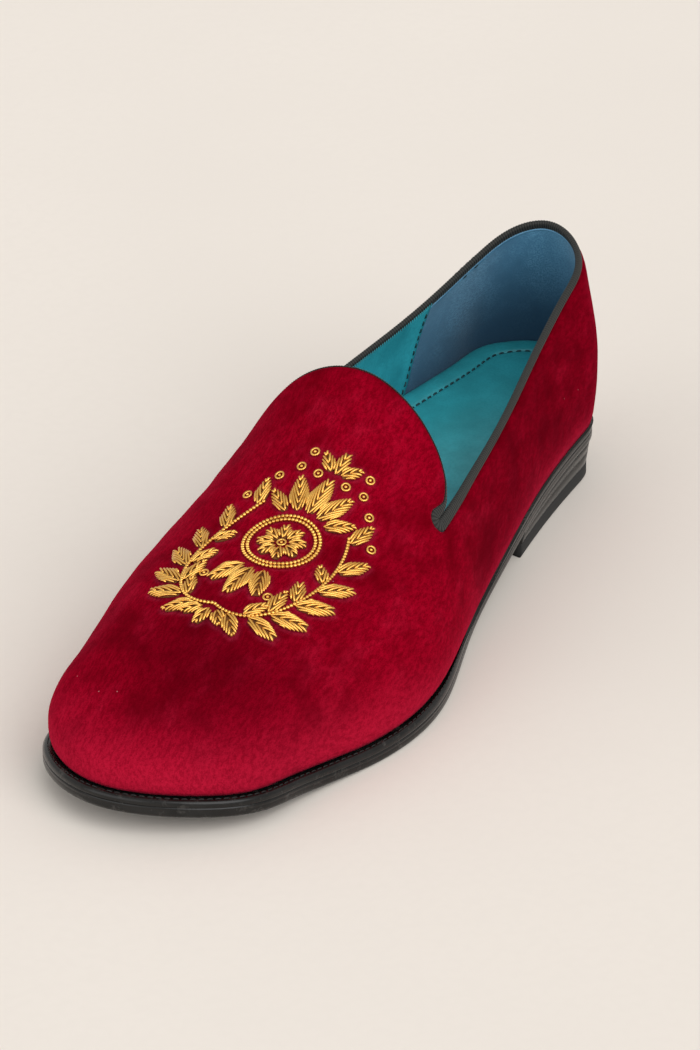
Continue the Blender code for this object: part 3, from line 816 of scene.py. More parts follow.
@dataclass(frozen=True)
class Finish:
    """Two tones in patches, a grain with its relief, and the shader's own gloss. Sizes are in millimetres."""

    name: str
    slot: str
    deep: Colour
    light: Colour
    roughness: float = 0.5
    patch: float = 20.0
    grain: float = 0.6
    relief: float = 0.03
    lean: float = 0.0
    specular: float = 0.5
    sheen: float = 0.0
    sheen_tint: Colour = (1.0, 1.0, 1.0)
    sheen_roughness: float = 0.4
    coat: float = 0.0
    coat_roughness: float = 0.2
    metallic: float = 0.0

    def material(self) -> bpy.types.Material:
        """The material of this finish, made once."""
        if self.name in bpy.data.materials:
            return bpy.data.materials[self.name]
        made = bpy.data.materials.new(self.name)
        made.use_nodes = True
        made.node_tree.nodes.clear()
        graph = Graph(made.node_tree)
        inputs = {
            "Specular IOR Level": self.specular,
            "Sheen Weight": self.sheen,
            "Sheen Tint": self.sheen_tint,
            "Sheen Roughness": self.sheen_roughness,
            "Coat Weight": self.coat,
            "Coat Roughness": self.coat_roughness,
            "Metallic": self.metallic,
            "Roughness": self.roughness,
        }
        inputs |= self.texture(graph, graph.node("TexCoord").outputs["Object"])
        graph.node("OutputMaterial", {"Surface": graph.node("BsdfPrincipled", inputs).outputs[0]})
        return made

    def relieved(self, graph: Graph, height: Link) -> Link:
        """A normal bumped by a height that goes from 0 to 1 over the finish's relief."""
        inputs = {"Height": height, "Distance": self.relief * MM, "Strength": 1.0}
        return graph.node("Bump", inputs).outputs["Normal"]

    def tones(self, graph: Graph, where: Link) -> dict[str, Link]:
        """The finish's two tones in patches."""
        inputs = {"Vector": where, "Deep": self.deep, "Light": self.light}
        return Mottle.use(graph, inputs | {"Size": self.patch, "Lean": self.lean})

    def texture(self, graph: Graph, where: Link) -> dict[str, Link]:
        """Leather: mottled tones, darker in the pores, with the grain in the gloss and the relief."""
        tones = self.tones(graph, where)
        grain = Grain.use(graph, {"Vector": where, "Size": self.grain})
        colour = graph.mix(graph.times(grain["Pores"], 0.35), tones["Color"], self.deep)
        gloss = graph.line(tones["Mask"], -0.08, self.roughness + 0.04)
        gloss = graph.line(grain["Pores"], 0.1, gloss)
        return {"Base Color": colour, "Roughness": gloss, "Normal": self.relieved(graph, grain["Height"])}


@dataclass(frozen=True)
class Velvet(Finish):
    """Cotton velvet: a short pile that catches light at its edges, with painted shade on the quarters and the
    toe's crown, painted sheen near the welt, and crushed places.
    """

    # bright: the painted sheen colour near the welt, also used for random lighter patches.
    bright: Colour = (0.46, 0.010, 0.038)
    # turned: the colour of the painted shade on the quarters and the toe's crown.
    turned: Colour = (0.070, 0.0, 0.003)
    sweep: float = 8.0
    crushed: Colour = (0.52, 0.04, 0.10)
    lint: Colour = (0.75, 0.45, 0.45)
    lint_spacing: float = 9.0
    lint_width: float = 0.22

    def texture(self, graph: Graph, where: Link) -> dict[str, Link]:
        """Leaning pile in patches with a slanting grain, painted sheen at the welt, painted shade on the
        quarters and the toe's crown, and crushed at the motif.
        """
        tones = self.tones(graph, where)
        slanted = graph.stretched(where, (0.5, 0.2, 0.6), (1.0, 0.32, 0.6))
        pile = graph.noise(slanted, self.grain, 3.0, 0.65)
        fine = graph.noise(where, self.grain * 0.45, 2.0, 0.6)
        tufts = graph.math("ADD", graph.times(pile, 0.6), graph.times(fine, 0.4))
        shade = graph.between(tufts, 0.37, 0.63)
        colour = graph.mix(graph.line(shade, -0.75, 0.75), tones["Color"], self.deep)
        # Painted shade: the quarters and the toe's crown are darkened by a mask kept on the mesh.
        painted_shade = graph.times(graph.attribute("painted_shade"), graph.line(tones["Mask"], -0.3, 1.0))
        colour = graph.mix(painted_shade, colour, self.turned)
        swept = graph.noise(graph.stretched(where, (0.9, 0.3, 1.1), (1.0, 0.4, 0.7)), self.sweep, 3.0, 0.65)
        swept = graph.times(graph.between(swept, 0.48, 0.76), graph.line(shade, 0.2, 0.14))
        swept = graph.times(swept, graph.line(painted_shade, -0.75, 1.0))
        colour = graph.mix(swept, colour, self.bright)
        # Painted sheen: the velvet is lightened near the welt.
        painted_sheen = graph.times(graph.attribute("painted_sheen"), graph.line(shade, 0.5, 0.45))
        colour = graph.mix(painted_sheen, colour, self.bright)
        crush = graph.times(graph.attribute("crush"), graph.line(shade, 0.5, 0.5))
        colour = graph.mix(crush, colour, self.crushed)
        inputs = {"Vector": where, "Spacing": self.lint_spacing, "Width": self.lint_width}
        lint = Flecks.use(graph, inputs)["Mask"]
        colour = graph.mix(graph.times(lint, 0.3), colour, self.lint)
        height = graph.line(tones["Mask"], 0.8, tufts)
        return {"Base Color": colour, "Normal": self.relieved(graph, height)}


@dataclass(frozen=True)
class Suede(Finish):
    """Suede: a short nap with strokes of lighter and darker fibre, with painted shade deep inside the shoe.
    """

    painted_inner_shade: Colour = (0.006, 0.036, 0.078)

    def texture(self, graph: Graph, where: Link) -> dict[str, Link]:
        """Mottled tones with a fine nap drawn out along the quarter, and painted shade lower down."""
        tones = self.tones(graph, where)
        nap = graph.noise(graph.stretched(where, (0.3, 0.4, 0.0), (1.0, 0.4, 1.0)), self.grain, 3.0, 0.7)
        colour = graph.mix(graph.between(nap, 0.65, 0.35), tones["Color"], self.deep)
        # Painted shade: darker towards the bottom of the heel grip, by a mask kept on the mesh.
        colour = graph.mix(graph.attribute("sunk"), colour, self.painted_inner_shade)
        return {"Base Color": colour, "Normal": self.relieved(graph, nap)}


@dataclass(frozen=True)
class Ribbed(Finish):
    """Grosgrain ribbon: cords across its width, with painted shade in the grooves, over a fine weave along
    it.
    """

    pitch: float = 1.0

    def texture(self, graph: Graph, where: Link) -> dict[str, Link]:
        """Reads the ribbon's own map: a sine along it for the cords, and a finer one across for the weave."""
        along, across = graph.mapped()
        cords = graph.wave(along, self.pitch)
        weave = graph.wave(across, self.grain)
        fuzz = graph.noise(where, 0.5, 2.0)
        height = graph.line(weave, 0.12, graph.line(cords, 0.4, fuzz))
        # Painted shade: the colour darkens from the cords' crests into the grooves between them.
        crest = graph.between(graph.line(fuzz, 0.8, cords), -0.6, 1.1)
        tones = self.tones(graph, where)
        colour = graph.mix(crest, self.deep, tones["Color"])
        return {"Base Color": colour, "Normal": self.relieved(graph, height)}


@dataclass(frozen=True)
class Bullion(Finish):
    """Gold purl: wire wound in a fine coil, brown in worn patches, with painted shade between the coil's
    turns.
    """

    coil: float = 0.42

    def texture(self, graph: Graph, where: Link) -> dict[str, Link]:
        """Reads the wire's own map: a slanting sine for the coil's turns, with painted shade between them,
        and patches of tarnish.
        """
        along, around = graph.mapped()
        coil = graph.wave(along, self.coil, around)
        tones = self.tones(graph, where)
        # Painted shade: the colour darkens in the troughs between the coil's turns.
        colour = graph.mix(graph.times(graph.between(coil, 0.2, -1.0), 0.2), tones["Color"], self.deep)
        gloss = graph.line(tones["Mask"], -0.1, self.roughness + 0.05)
        return {"Base Color": colour, "Roughness": gloss, "Normal": self.relieved(graph, coil)}


@dataclass(frozen=True)
class EdgeLeather(Finish):
    """Blacked and burnished leather edge: fine lines along it, scuffs that show grey, and a little dust."""

    worn: Colour = (0.10, 0.092, 0.085)
    layers: float = 1.1
    scuffs: float = 5.0
    dust_spacing: float = 4.0
    dust_width: float = 0.16

    def texture(self, graph: Graph, where: Link) -> dict[str, Link]:
        """Lines along the layers, scuffed lighter in patches, with gloss that varies with the scuffs."""
        tones = self.tones(graph, where)
        lines = graph.noise(graph.stretched(where, (0.0, 0.0, 0.0), (0.12, 0.12, 1.0)), self.layers, 3.0, 0.7)
        scuff = graph.noise(where, self.scuffs, 4.0, 0.7)
        worn = graph.times(graph.between(scuff, 0.52, 0.75), graph.between(lines, 0.4, 0.62))
        inputs = {"Vector": where, "Spacing": self.dust_spacing, "Width": self.dust_width}
        dust = Flecks.use(graph, inputs)["Mask"]
        colour = graph.mix(graph.times(worn, 0.6), tones["Color"], self.worn)
        colour = graph.mix(graph.times(dust, 0.5), colour, self.worn)
        gloss = graph.line(worn, 0.22, self.roughness)
        height = graph.line(lines, 0.7, scuff)
        return {"Base Color": colour, "Roughness": gloss, "Normal": self.relieved(graph, height)}


VELVET = Velvet(
    "crimson_velvet", "velvet", (0.125, 0.0, 0.004), (0.31, 0.001, 0.014), 1.0, 30.0, 0.9, 0.26,
    lean=0.07, specular=0.0, sheen=0.22, sheen_tint=(1.0, 0.07, 0.16), sheen_roughness=0.3,
)
GROSGRAIN = Ribbed(
    "black_grosgrain", "grosgrain", (0.004, 0.004, 0.0035), (0.025, 0.026, 0.023), 0.6, 9.0, 0.45, 0.05,
    lean=0.2, specular=0.35, sheen=0.12,
)
TEAL = Finish(
    "teal_leather", "lining_leather", (0.016, 0.25, 0.31), (0.036, 0.40, 0.48), 0.46, 30.0, 0.9, 0.05,
    specular=0.45,
)
SOCK = Finish(
    "sock_leather", "lining_leather", (0.016, 0.24, 0.28), (0.03, 0.36, 0.42), 0.42, 34.0, 0.8, 0.04,
)
SUEDE = Suede(
    "steel_blue_suede", "suede_lining", (0.045, 0.165, 0.28), (0.1, 0.29, 0.45), 0.95, 22.0, 0.5, 0.08,
    sheen=0.3,
)
CUT_EDGE = Suede("cut_edge_blue", "suede_lining", (0.10, 0.27, 0.43), (0.17, 0.40, 0.60), 0.8, 6.0, 0.4, 0.05)
EDGE = EdgeLeather(
    "blacked_edge", "sole_leather", (0.004, 0.0038, 0.0035), (0.010, 0.0095, 0.009), 0.26, 12.0, 0.5, 0.03,
    specular=0.28, coat=0.10, coat_roughness=0.3,
)
RUBBER = Finish("heel_rubber", "heel_rubber", (0.01, 0.01, 0.01), (0.02, 0.02, 0.02), 0.6, 8.0, 0.7, 0.04)
GOLD = Bullion(
    "gold_purl", "embroidery", (0.42, 0.17, 0.018), (0.95, 0.55, 0.13), 0.25, 5.0, 0.5, 0.012,
    lean=0.14, metallic=0.9, specular=0.6,
)
# Padding colour: a real padding, made dark brown so that it stands in for the shade in the gaps between the
# gold wires.
PADDING = Finish(
    "motif_padding", "embroidery", (0.13, 0.042, 0.007), (0.26, 0.095, 0.014), 0.8, 3.0, 0.4, 0.1,
)
BLACK_THREAD = Finish(
    "black_thread", "thread", (0.004, 0.004, 0.004), (0.012, 0.012, 0.012), 0.6, 3.0, 0.3, 0.05,
)
TEAL_THREAD = Finish(
    "dark_teal_thread", "thread", (0.002, 0.022, 0.03), (0.004, 0.04, 0.052), 0.65, 3.0, 0.3, 0.05,
)


def dress(piece: Piece, finish: Finish, *nodes: str) -> Piece:
    """Gives a piece its finish, lets it ride on the shoe, and reports it.

    Args:
        piece: the finished object.
        finish: its finish.
        nodes: the CAD solids that it stands for.

    Returns:
        The same object.
    """
    piece.data.materials.clear()
    piece.data.materials.append(finish.material())
    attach(piece, "root")
    if nodes:
        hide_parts(*nodes)
    LOG.info("%s: %d faces in %s", piece.name, len(piece.data.polygons), finish.name)
    return piece


def closed(name: str, parts: Iterable[tuple], finish: Finish, *nodes: str, merge: float = 0.0005) -> Piece:
    """Makes closed bodies one dressed piece.

    Args:
        name: the piece's name.
        parts: a stack of grids and its map, or None for no map, for each set of bodies.
        finish: its finish.
        nodes: the CAD solids that it stands for.
        merge: points nearer than this are joined.

    Returns:
        The piece.
    """
    surface = Surface()
    for grids, uv in parts:
        surface.add(grids, uv=uv)
    return dress(surface.piece(name, merge=merge, outward=True), finish, *nodes)


@dataclass
class UpperShell:
    """A sheet over the whole upper, sewn from four patches a side that meet at the ridge."""

    last: Last
    openings: dict[Side, Opening]
    front_steps: int = 150
    low_steps: int = 7
    side_steps: int = 20
    crown_steps: int = 54
    tongue_steps: int = 52
    closest: float = 0.0015

    def sheet(self, name: str, lines: dict[Side, Pair], rear: Array | None = None) -> Piece:
        """Lays the sheet on the last between the feather line and a line near the opening.

        Columns of points lean from each side's own stations onto shared ones, so that both sides meet.

        Args:
            name: the piece's name.
            lines: the sheet's upper edge on each side.
            rear: stations of the rear edge, from foot to top, if it stops short of the heel.

        Returns:
            The open sheet.
        """
        surface = Surface()
        turns = {side: int(np.argmax(station)) for side, (station, _) in lines.items()}
        tongues = {side: self.tongue_line(side, *line, turns[side]) for side, line in lines.items()}
        ridge = np.mean([station for station, _ in tongues.values()], axis=0)
        shared = np.mean([rise[0] for _, rise in tongues.values()])
        share = self.last.even_stations(ridge[0], 1, self.front_steps)
        share = (share - ridge[0]) / (1 - ridge[0])
        behind = 0 if rear is None else rear[-1]
        crown = np.linspace(0, 1, self.crown_steps)
        for side, (station, rise) in lines.items():
            flip = side is Side.LATERAL
            turn = turns[side]
            _, kept = np.unique((station[:turn] / self.closest).astype(int), return_index=True)
            kept = kept[(station[turn] - station[kept] > self.closest) & (station[kept] >= behind)]
            kept = np.append(kept, turn)
            quarter = station[kept]
            rises = self.climb(rise[kept])
            stations = np.tile(quarter[:, None], (1, rises.shape[1]))
            if rear is not None:
                high = (rises + 1) / (rises[:, -1:] + 1)
                lean = np.interp(high, np.linspace(0, 1, len(rear)), rear) - quarter[0]
                stations = stations + lean * (1 - np.linspace(0, 1, len(quarter)))[:, None]
            surface.add(self.last.point(stations, side, rises), flip)
            tongue, tongue_rise = tongues[side]
            front = tongue[0] + (1 - tongue[0]) * share
            shoulder = tongue_rise[0] + (shared - tongue_rise[0]) * share
            surface.add(self.last.point(front[:, None], side, self.climb(shoulder)), flip)
            leaning = ladder(front, ridge[0] + (1 - ridge[0]) * share, crown)
            surface.add(self.last.point(leaning, side, ladder(shoulder, np.ones(len(front)), crown)), flip)
            rises = ladder(tongue_rise, np.ones(len(tongue)), crown)
            surface.add(self.last.point(ladder(tongue, ridge, crown), side, rises), not flip)
        return surface.piece(name)

    def climb(self, top: Array) -> Array:
        """Rises up to a top at each column: even steps below the widest outline, and even steps above it."""
        low = np.tile(np.linspace(-1, 0, self.low_steps)[:-1], (len(top), 1))
        return np.concatenate([low, ladder(0 * top, top, np.linspace(0, 1, self.side_steps))], axis=1)

    def tongue_line(self, side: Side, station: Array, rise: Array, turn: int) -> Pair:
        """The part of a line from its foremost point to the tongue's tip, spaced evenly along the surface."""
        length = run_length(self.last.point(station[turn:], side, rise[turn:]))
        at = np.linspace(0, length[-1], self.tongue_steps)
        even = along_values(np.column_stack([station[turn:], rise[turn:]]), length, at)
        return even[:, 0], even[:, 1]

    def lines(self, width: Callable[[Opening], Array | float]) -> dict[Side, Pair]:
        """A line on each side, set back from the opening by a width that may vary along it."""
        return {side: opening.set_back(width(opening)) for side, opening in self.openings.items()}

    def loop(self, lines: dict[Side, Pair]) -> Array:
        """Points close together along both sides' lines."""
        return dotted([self.last.point(station, side, rise) for side, (station, rise) in lines.items()], 0.3)

    def feather(self) -> Array:
        """Points close together along the feather line of both sides."""
        return dotted([self.last.point(np.linspace(0, 1, 700), side, -1.0) for side in Side], 0.5)


@dataclass
class VelvetUpper:
    """The velvet, lasted over the toe and folded under the binding, where its pile stands up."""

    shell: UpperShell
    thickness: float = 0.9
    dip: float = 0.1
    stand_reach: float = 0.9
    puff: float = 0.75
    puff_reach: float = 6.0
    bulge: float = 0.35
    bulge_start: float = 1.2
    bulge_reach: float = 7.0
    ripple: float = 0.10
    ripple_start: float = 12.0
    sunk: float = 0.3
    sunk_reach: float = 1.4
    crush: float = 0.3
    crush_reach: float = 0.95
    # Reach of the painted sheen near the welt, at the heel and at the toe.
    painted_sheen_reach: Spot = (6.0, 15.0)
    # Place, reaches and rear strength of the painted shade on the velvet.
    painted_shade_middle: Spot = (9.0, -108.0)
    painted_shade_reach: Spot = (32.0, 27.0)
    painted_shade_rear: float = 0.65
    cut: Spot = (0.25, 0.31)
    cut_area: float = 0.0393

    def build(self, motif: Array) -> Piece:
        """Makes the velvet shell.

        The outer face is the last's surface moved along its normals. By the distance d from the binding it
        rises as 1 - exp(-d) and fades as a bell. It bulges over the welt, ripples, and sinks under the motif.

        Args:
            motif: points along the outlines of the embroidery.

        Returns:
            The dressed piece.
        """
        lines = self.shell.lines(lambda opening: opening.band() + GAP * 0.3)
        piece = self.shell.sheet("velvet_upper", lines)
        spots, normals = places(piece), places(piece, "normal")
        binding = distance_to(spots, self.shell.loop(lines))
        welt = distance_to(spots, self.shell.feather())
        sewn = distance_to(spots, motif)
        stand = 1 - np.exp(-binding / self.stand_reach)
        lift = self.dip * (stand - 1) + self.puff * stand * bell(binding, self.puff_reach)
        lift += self.bulge * (1 - np.exp(-welt / self.bulge_start)) * bell(welt, self.bulge_reach)
        wave = np.sin(spots @ (0.21, 0.11, 0.17)) * np.sin(spots @ (-0.09, 0.19, 0.13) + 1.3)
        lift += self.ripple * wave * ease(np.minimum(binding, welt) / self.ripple_start)
        lift -= self.sunk * bell(sewn, self.sunk_reach)
        move_to(piece, spots + normals * lift[:, None])
        # Masks for the material: painted sheen near the welt, widest at the toe, and painted shade over the
        # rear quarters and the toe's crown.
        front = ease((-spots[:, 1] - 10) / 60)
        rear = ease((spots[:, 1] + 5) / 45)
        toe = np.linalg.norm((spots[:, :2] - self.painted_shade_middle) / self.painted_shade_reach, axis=-1)
        reach = self.painted_sheen_reach[0] + (self.painted_sheen_reach[1] - self.painted_sheen_reach[0]) * front
        note(piece, "painted_sheen", bell(welt, reach) * (0.75 + 0.25 * front))
        note(piece, "painted_shade", np.clip(self.painted_shade_rear * rear + bell(toe, 1), 0, 1))
        note(piece, "crush", bell(sewn, self.crush_reach) * self.crush)
        wall(piece, self.thickness)
        dress(piece, VELVET, "upper")
        return piece


@dataclass
class Lining:
    """The teal leather lining, and the suede heel grip that its rear edge is stitched over."""

    shell: UpperShell
    depth: float = 0.95
    grip_depth: float = 1.0
    thickness: float = 0.9
    grip_thickness: float = 0.5
    grip_rows: int = 34
    grip_columns: int = 60
    overlap: float = 0.012
    top: float = 1.2
    seam_ahead: float = 0.007
    seam_below: float = 1.2
    shade: float = 0.85
    shade_top: float = 4.0
    shade_reach: float = 38.0
    cut: Spot = (0.23, 0.26)
    cut_area: float = 0.0316
    grip_cut: Spot = (0.062, 0.15)
    grip_area: float = 0.0075
    seam: tuple[float, ...] = (0.258, 0.257, 0.2555, 0.254, 0.2525, 0.250, 0.246, 0.238, 0.226, 0.212)

    def seam_station(self, climb: Array) -> Array:
        """Station of the seam between lining and grip, by the share of the way up the wall."""
        return np.interp(climb, np.linspace(0, 1, len(self.seam)), self.seam)

    def build(self) -> list[Piece]:
        """Makes both layers as sheets sunk below the last's surface by their depths, with walls inwards.

        Returns:
            The dressed lining and grip.
        """
        lines = self.shell.lines(lambda opening: self.top)
        front = self.shell.sheet("teal_lining", lines, rear=np.array(self.seam))
        move_to(front, places(front) - places(front, "normal") * self.depth)
        wall(front, self.thickness)
        surface = Surface()
        climb = np.linspace(0, 1, self.grip_rows)
        ends = self.seam_station(climb) + self.overlap
        for side, opening in self.shell.openings.items():
            stations = np.linspace(0, 1, self.grip_columns)[:, None] * ends
            top = opening.quarter_rise(self.top, stations)
            surface.add(self.shell.last.point(stations, side, -1 + (top + 1) * climb), side is Side.LATERAL)
        grip = surface.piece("suede_heel_grip")
        spots = places(grip) - places(grip, "normal") * self.grip_depth
        move_to(grip, spots)
        # Painted shade: the grip darkens further below the collar.
        down = self.shell.last.topline_z(spots[:, 1]) - spots[:, 2]
        note(grip, "sunk", self.shade * ease((down - self.shade_top) / self.shade_reach))
        wall(grip, self.grip_thickness)
        dress(front, TEAL)
        dress(grip, SUEDE)
        return [front, grip]

    def seam_path(self, side: Side) -> Pair:
        """Points and inward normals of the stitching near the lining's rear edge, on its inner face."""
        climb = np.linspace(0.12, 1, 80)
        stations = self.seam_station(climb) + self.seam_ahead
        top = self.shell.openings[side].quarter_rise(self.top + self.seam_below, stations)
        rises = -1 + (top + 1) * climb
        normal = self.shell.last.normal(stations, side, rises)
        inner = self.depth + self.thickness
        return self.shell.last.point(stations, side, rises) - normal * inner, -normal


@dataclass
class Binding:
    """The grosgrain ribbon folded over the collar: a padded outer band, a round top and an inner band.

    Its cross-section is carried round both sides of the opening, and every cord of the ribbon is a low ridge.
    """

    shell: UpperShell
    wall_thick: float = 1.7
    proud: float = 0.15
    inner_depth: float = 2.3
    cord_pitch: float = 1.0
    cord_height: float = 0.07
    steps_each: float = 0.18
    outer_rows: tuple[float, ...] = (0.0, 0.04, 0.14, 0.35, 0.6, 0.82, 1.0)
    outer_lift: tuple[float, ...] = (-0.35, 0.02, 0.17, 0.26, 0.27, 0.2, 0.15)
    inner_rows: tuple[tuple[float, ...], ...] = ((0.35, 0.7, 0.92, 1.0), (0.0, 0.0, 0.08, 0.4))
    round_steps: int = 9
    cap_share: float = 0.75
    back_depth: float = 0.2
    back_rise: float = 0.9
    edge_thick: float = 0.55
    edge_tall: float = 0.9
    edge_below: float = 0.1

    def side_rows(self, opening: Opening) -> Pair:
        """The ribbon's cross-sections along one side.

        Args:
            opening: the edge that the ribbon is folded over.

        Returns:
            Grids of points and of outward directions, with a row for each point of the cross-section.
        """
        last, side = self.shell.last, opening.side
        edge_station, edge_rise = opening.edge()
        width = opening.band()
        foot_station, foot_rise = opening.set_back(width)
        half = self.wall_thick / 2 + self.proud
        cap = np.minimum(half, self.cap_share * width)
        shares = (1 - cap / width)[:, None] * np.array(self.outer_rows)
        stations = foot_station[:, None] + (edge_station - foot_station)[:, None] * shares
        rises = foot_rise[:, None] + (edge_rise - foot_rise)[:, None] * shares
        base = last.point(stations, side, rises)
        out = last.normal(stations, side, rises)
        outer = base + out * np.array(self.outer_lift)[:, None]
        up = out[:, -1:]
        into = unit(base[:, -1] - last.point(edge_station, side, edge_rise))[:, None]
        into = unit(into - up * (into * up).sum(-1, keepdims=True))
        middle = base[:, -1:] - up * self.wall_thick / 2
        turn = np.linspace(0, np.pi, self.round_steps + 1)[1:, None]
        round_out = np.cos(turn) * up - np.sin(turn) * into
        top = middle + np.cos(turn) * half * up - np.sin(turn) * cap[:, None, None] * into
        down, sink = np.array(self.inner_rows)[:, :, None]
        inner = middle - up * (half - sink) + into * down * (self.inner_depth - cap.min())
        back = middle - up * self.back_depth + into * (self.inner_depth - self.back_rise)
        grid = np.concatenate([outer, top, inner, back, outer[:, :1]], axis=1)
        outer_face = out * (np.arange(len(self.outer_rows)) > 0)[:, None]
        face = -up * (np.arange(len(down)) < len(down) - 1)[:, None]
        return grid, np.concatenate([outer_face, round_out, face, 0 * back, 0 * back], axis=1)

    def build(self) -> Piece:
        """Makes the ribbon, one closed body round the whole opening.

        The cross-sections are spread evenly, softened where they turn round the V notch, and moved out and in
        by a sine of the distance travelled.

        Returns:
            The dressed piece.
        """
        sides = [self.side_rows(self.shell.openings[side]) for side in Side]
        both = np.concatenate([joined([side[part] for side in sides]) for part in (0, 1)], axis=1)
        length = run_length(both[:, len(self.outer_rows) - 3])
        steps = round(self.cord_pitch / self.steps_each)
        at = np.linspace(0, length[-1], round(length[-1] / self.cord_pitch) * steps + 1)
        both = along_values(both.reshape(len(both), -1), length, at).reshape(len(at), -1, 3)
        grid, face = np.split(both, 2, axis=1)
        cord = np.sin(2 * np.pi * np.arange(len(at)) / steps)
        grid = self.soften(grid) + unit(face) * (self.cord_height * cord)[:, None, None]
        grid[-1] = grid[0]
        along = np.arange(len(at)) * self.cord_pitch / steps
        uv = np.stack(np.meshgrid(along, run_length(grid[0]), indexing="ij"), axis=-1)
        return closed("grosgrain_binding", [(grid, uv)], GROSGRAIN, "collar_binding", merge=0.002)

    def soften(self, grid: Array, passes: int = 5) -> Array:
        """Averages each section with its neighbours a few times, all the way round."""
        for _ in range(passes):
            ring = grid[:-1]
            ring = (np.roll(ring, 1, axis=0) + 2 * ring + np.roll(ring, -1, axis=0)) / 4
            grid = np.concatenate([ring, ring[:1]])
        return grid

    def cut_edge(self) -> Piece:
        """The light cut edge of the lining's facing, which shows as a thin strip inside the binding.

        Its cross-section is a small rounded bar on the wall's inner face, carried round the opening.
        """
        square = circle(9)
        square = np.sign(square) * np.abs(square) ** 0.6 / 2
        corner = len(self.outer_rows) + self.round_steps
        sides = []
        for side in Side:
            opening = self.shell.openings[side]
            grid, _ = self.side_rows(opening)
            foot = grid[:, corner + 2]
            into = unit(foot - grid[:, corner])
            up = self.shell.last.normal(opening.edge()[0], side, opening.edge()[1])
            centre = foot + into * (self.edge_below + self.edge_tall / 2) + up * self.edge_thick * 0.3
            high, wide = into * self.edge_tall, up * self.edge_thick
            sides.append(centre[:, None] - wide[:, None] * square[:, :1] + high[:, None] * square[:, 1:])
        return closed("facing_cut_edge", [(joined(sides), None)], CUT_EDGE, merge=0.002)


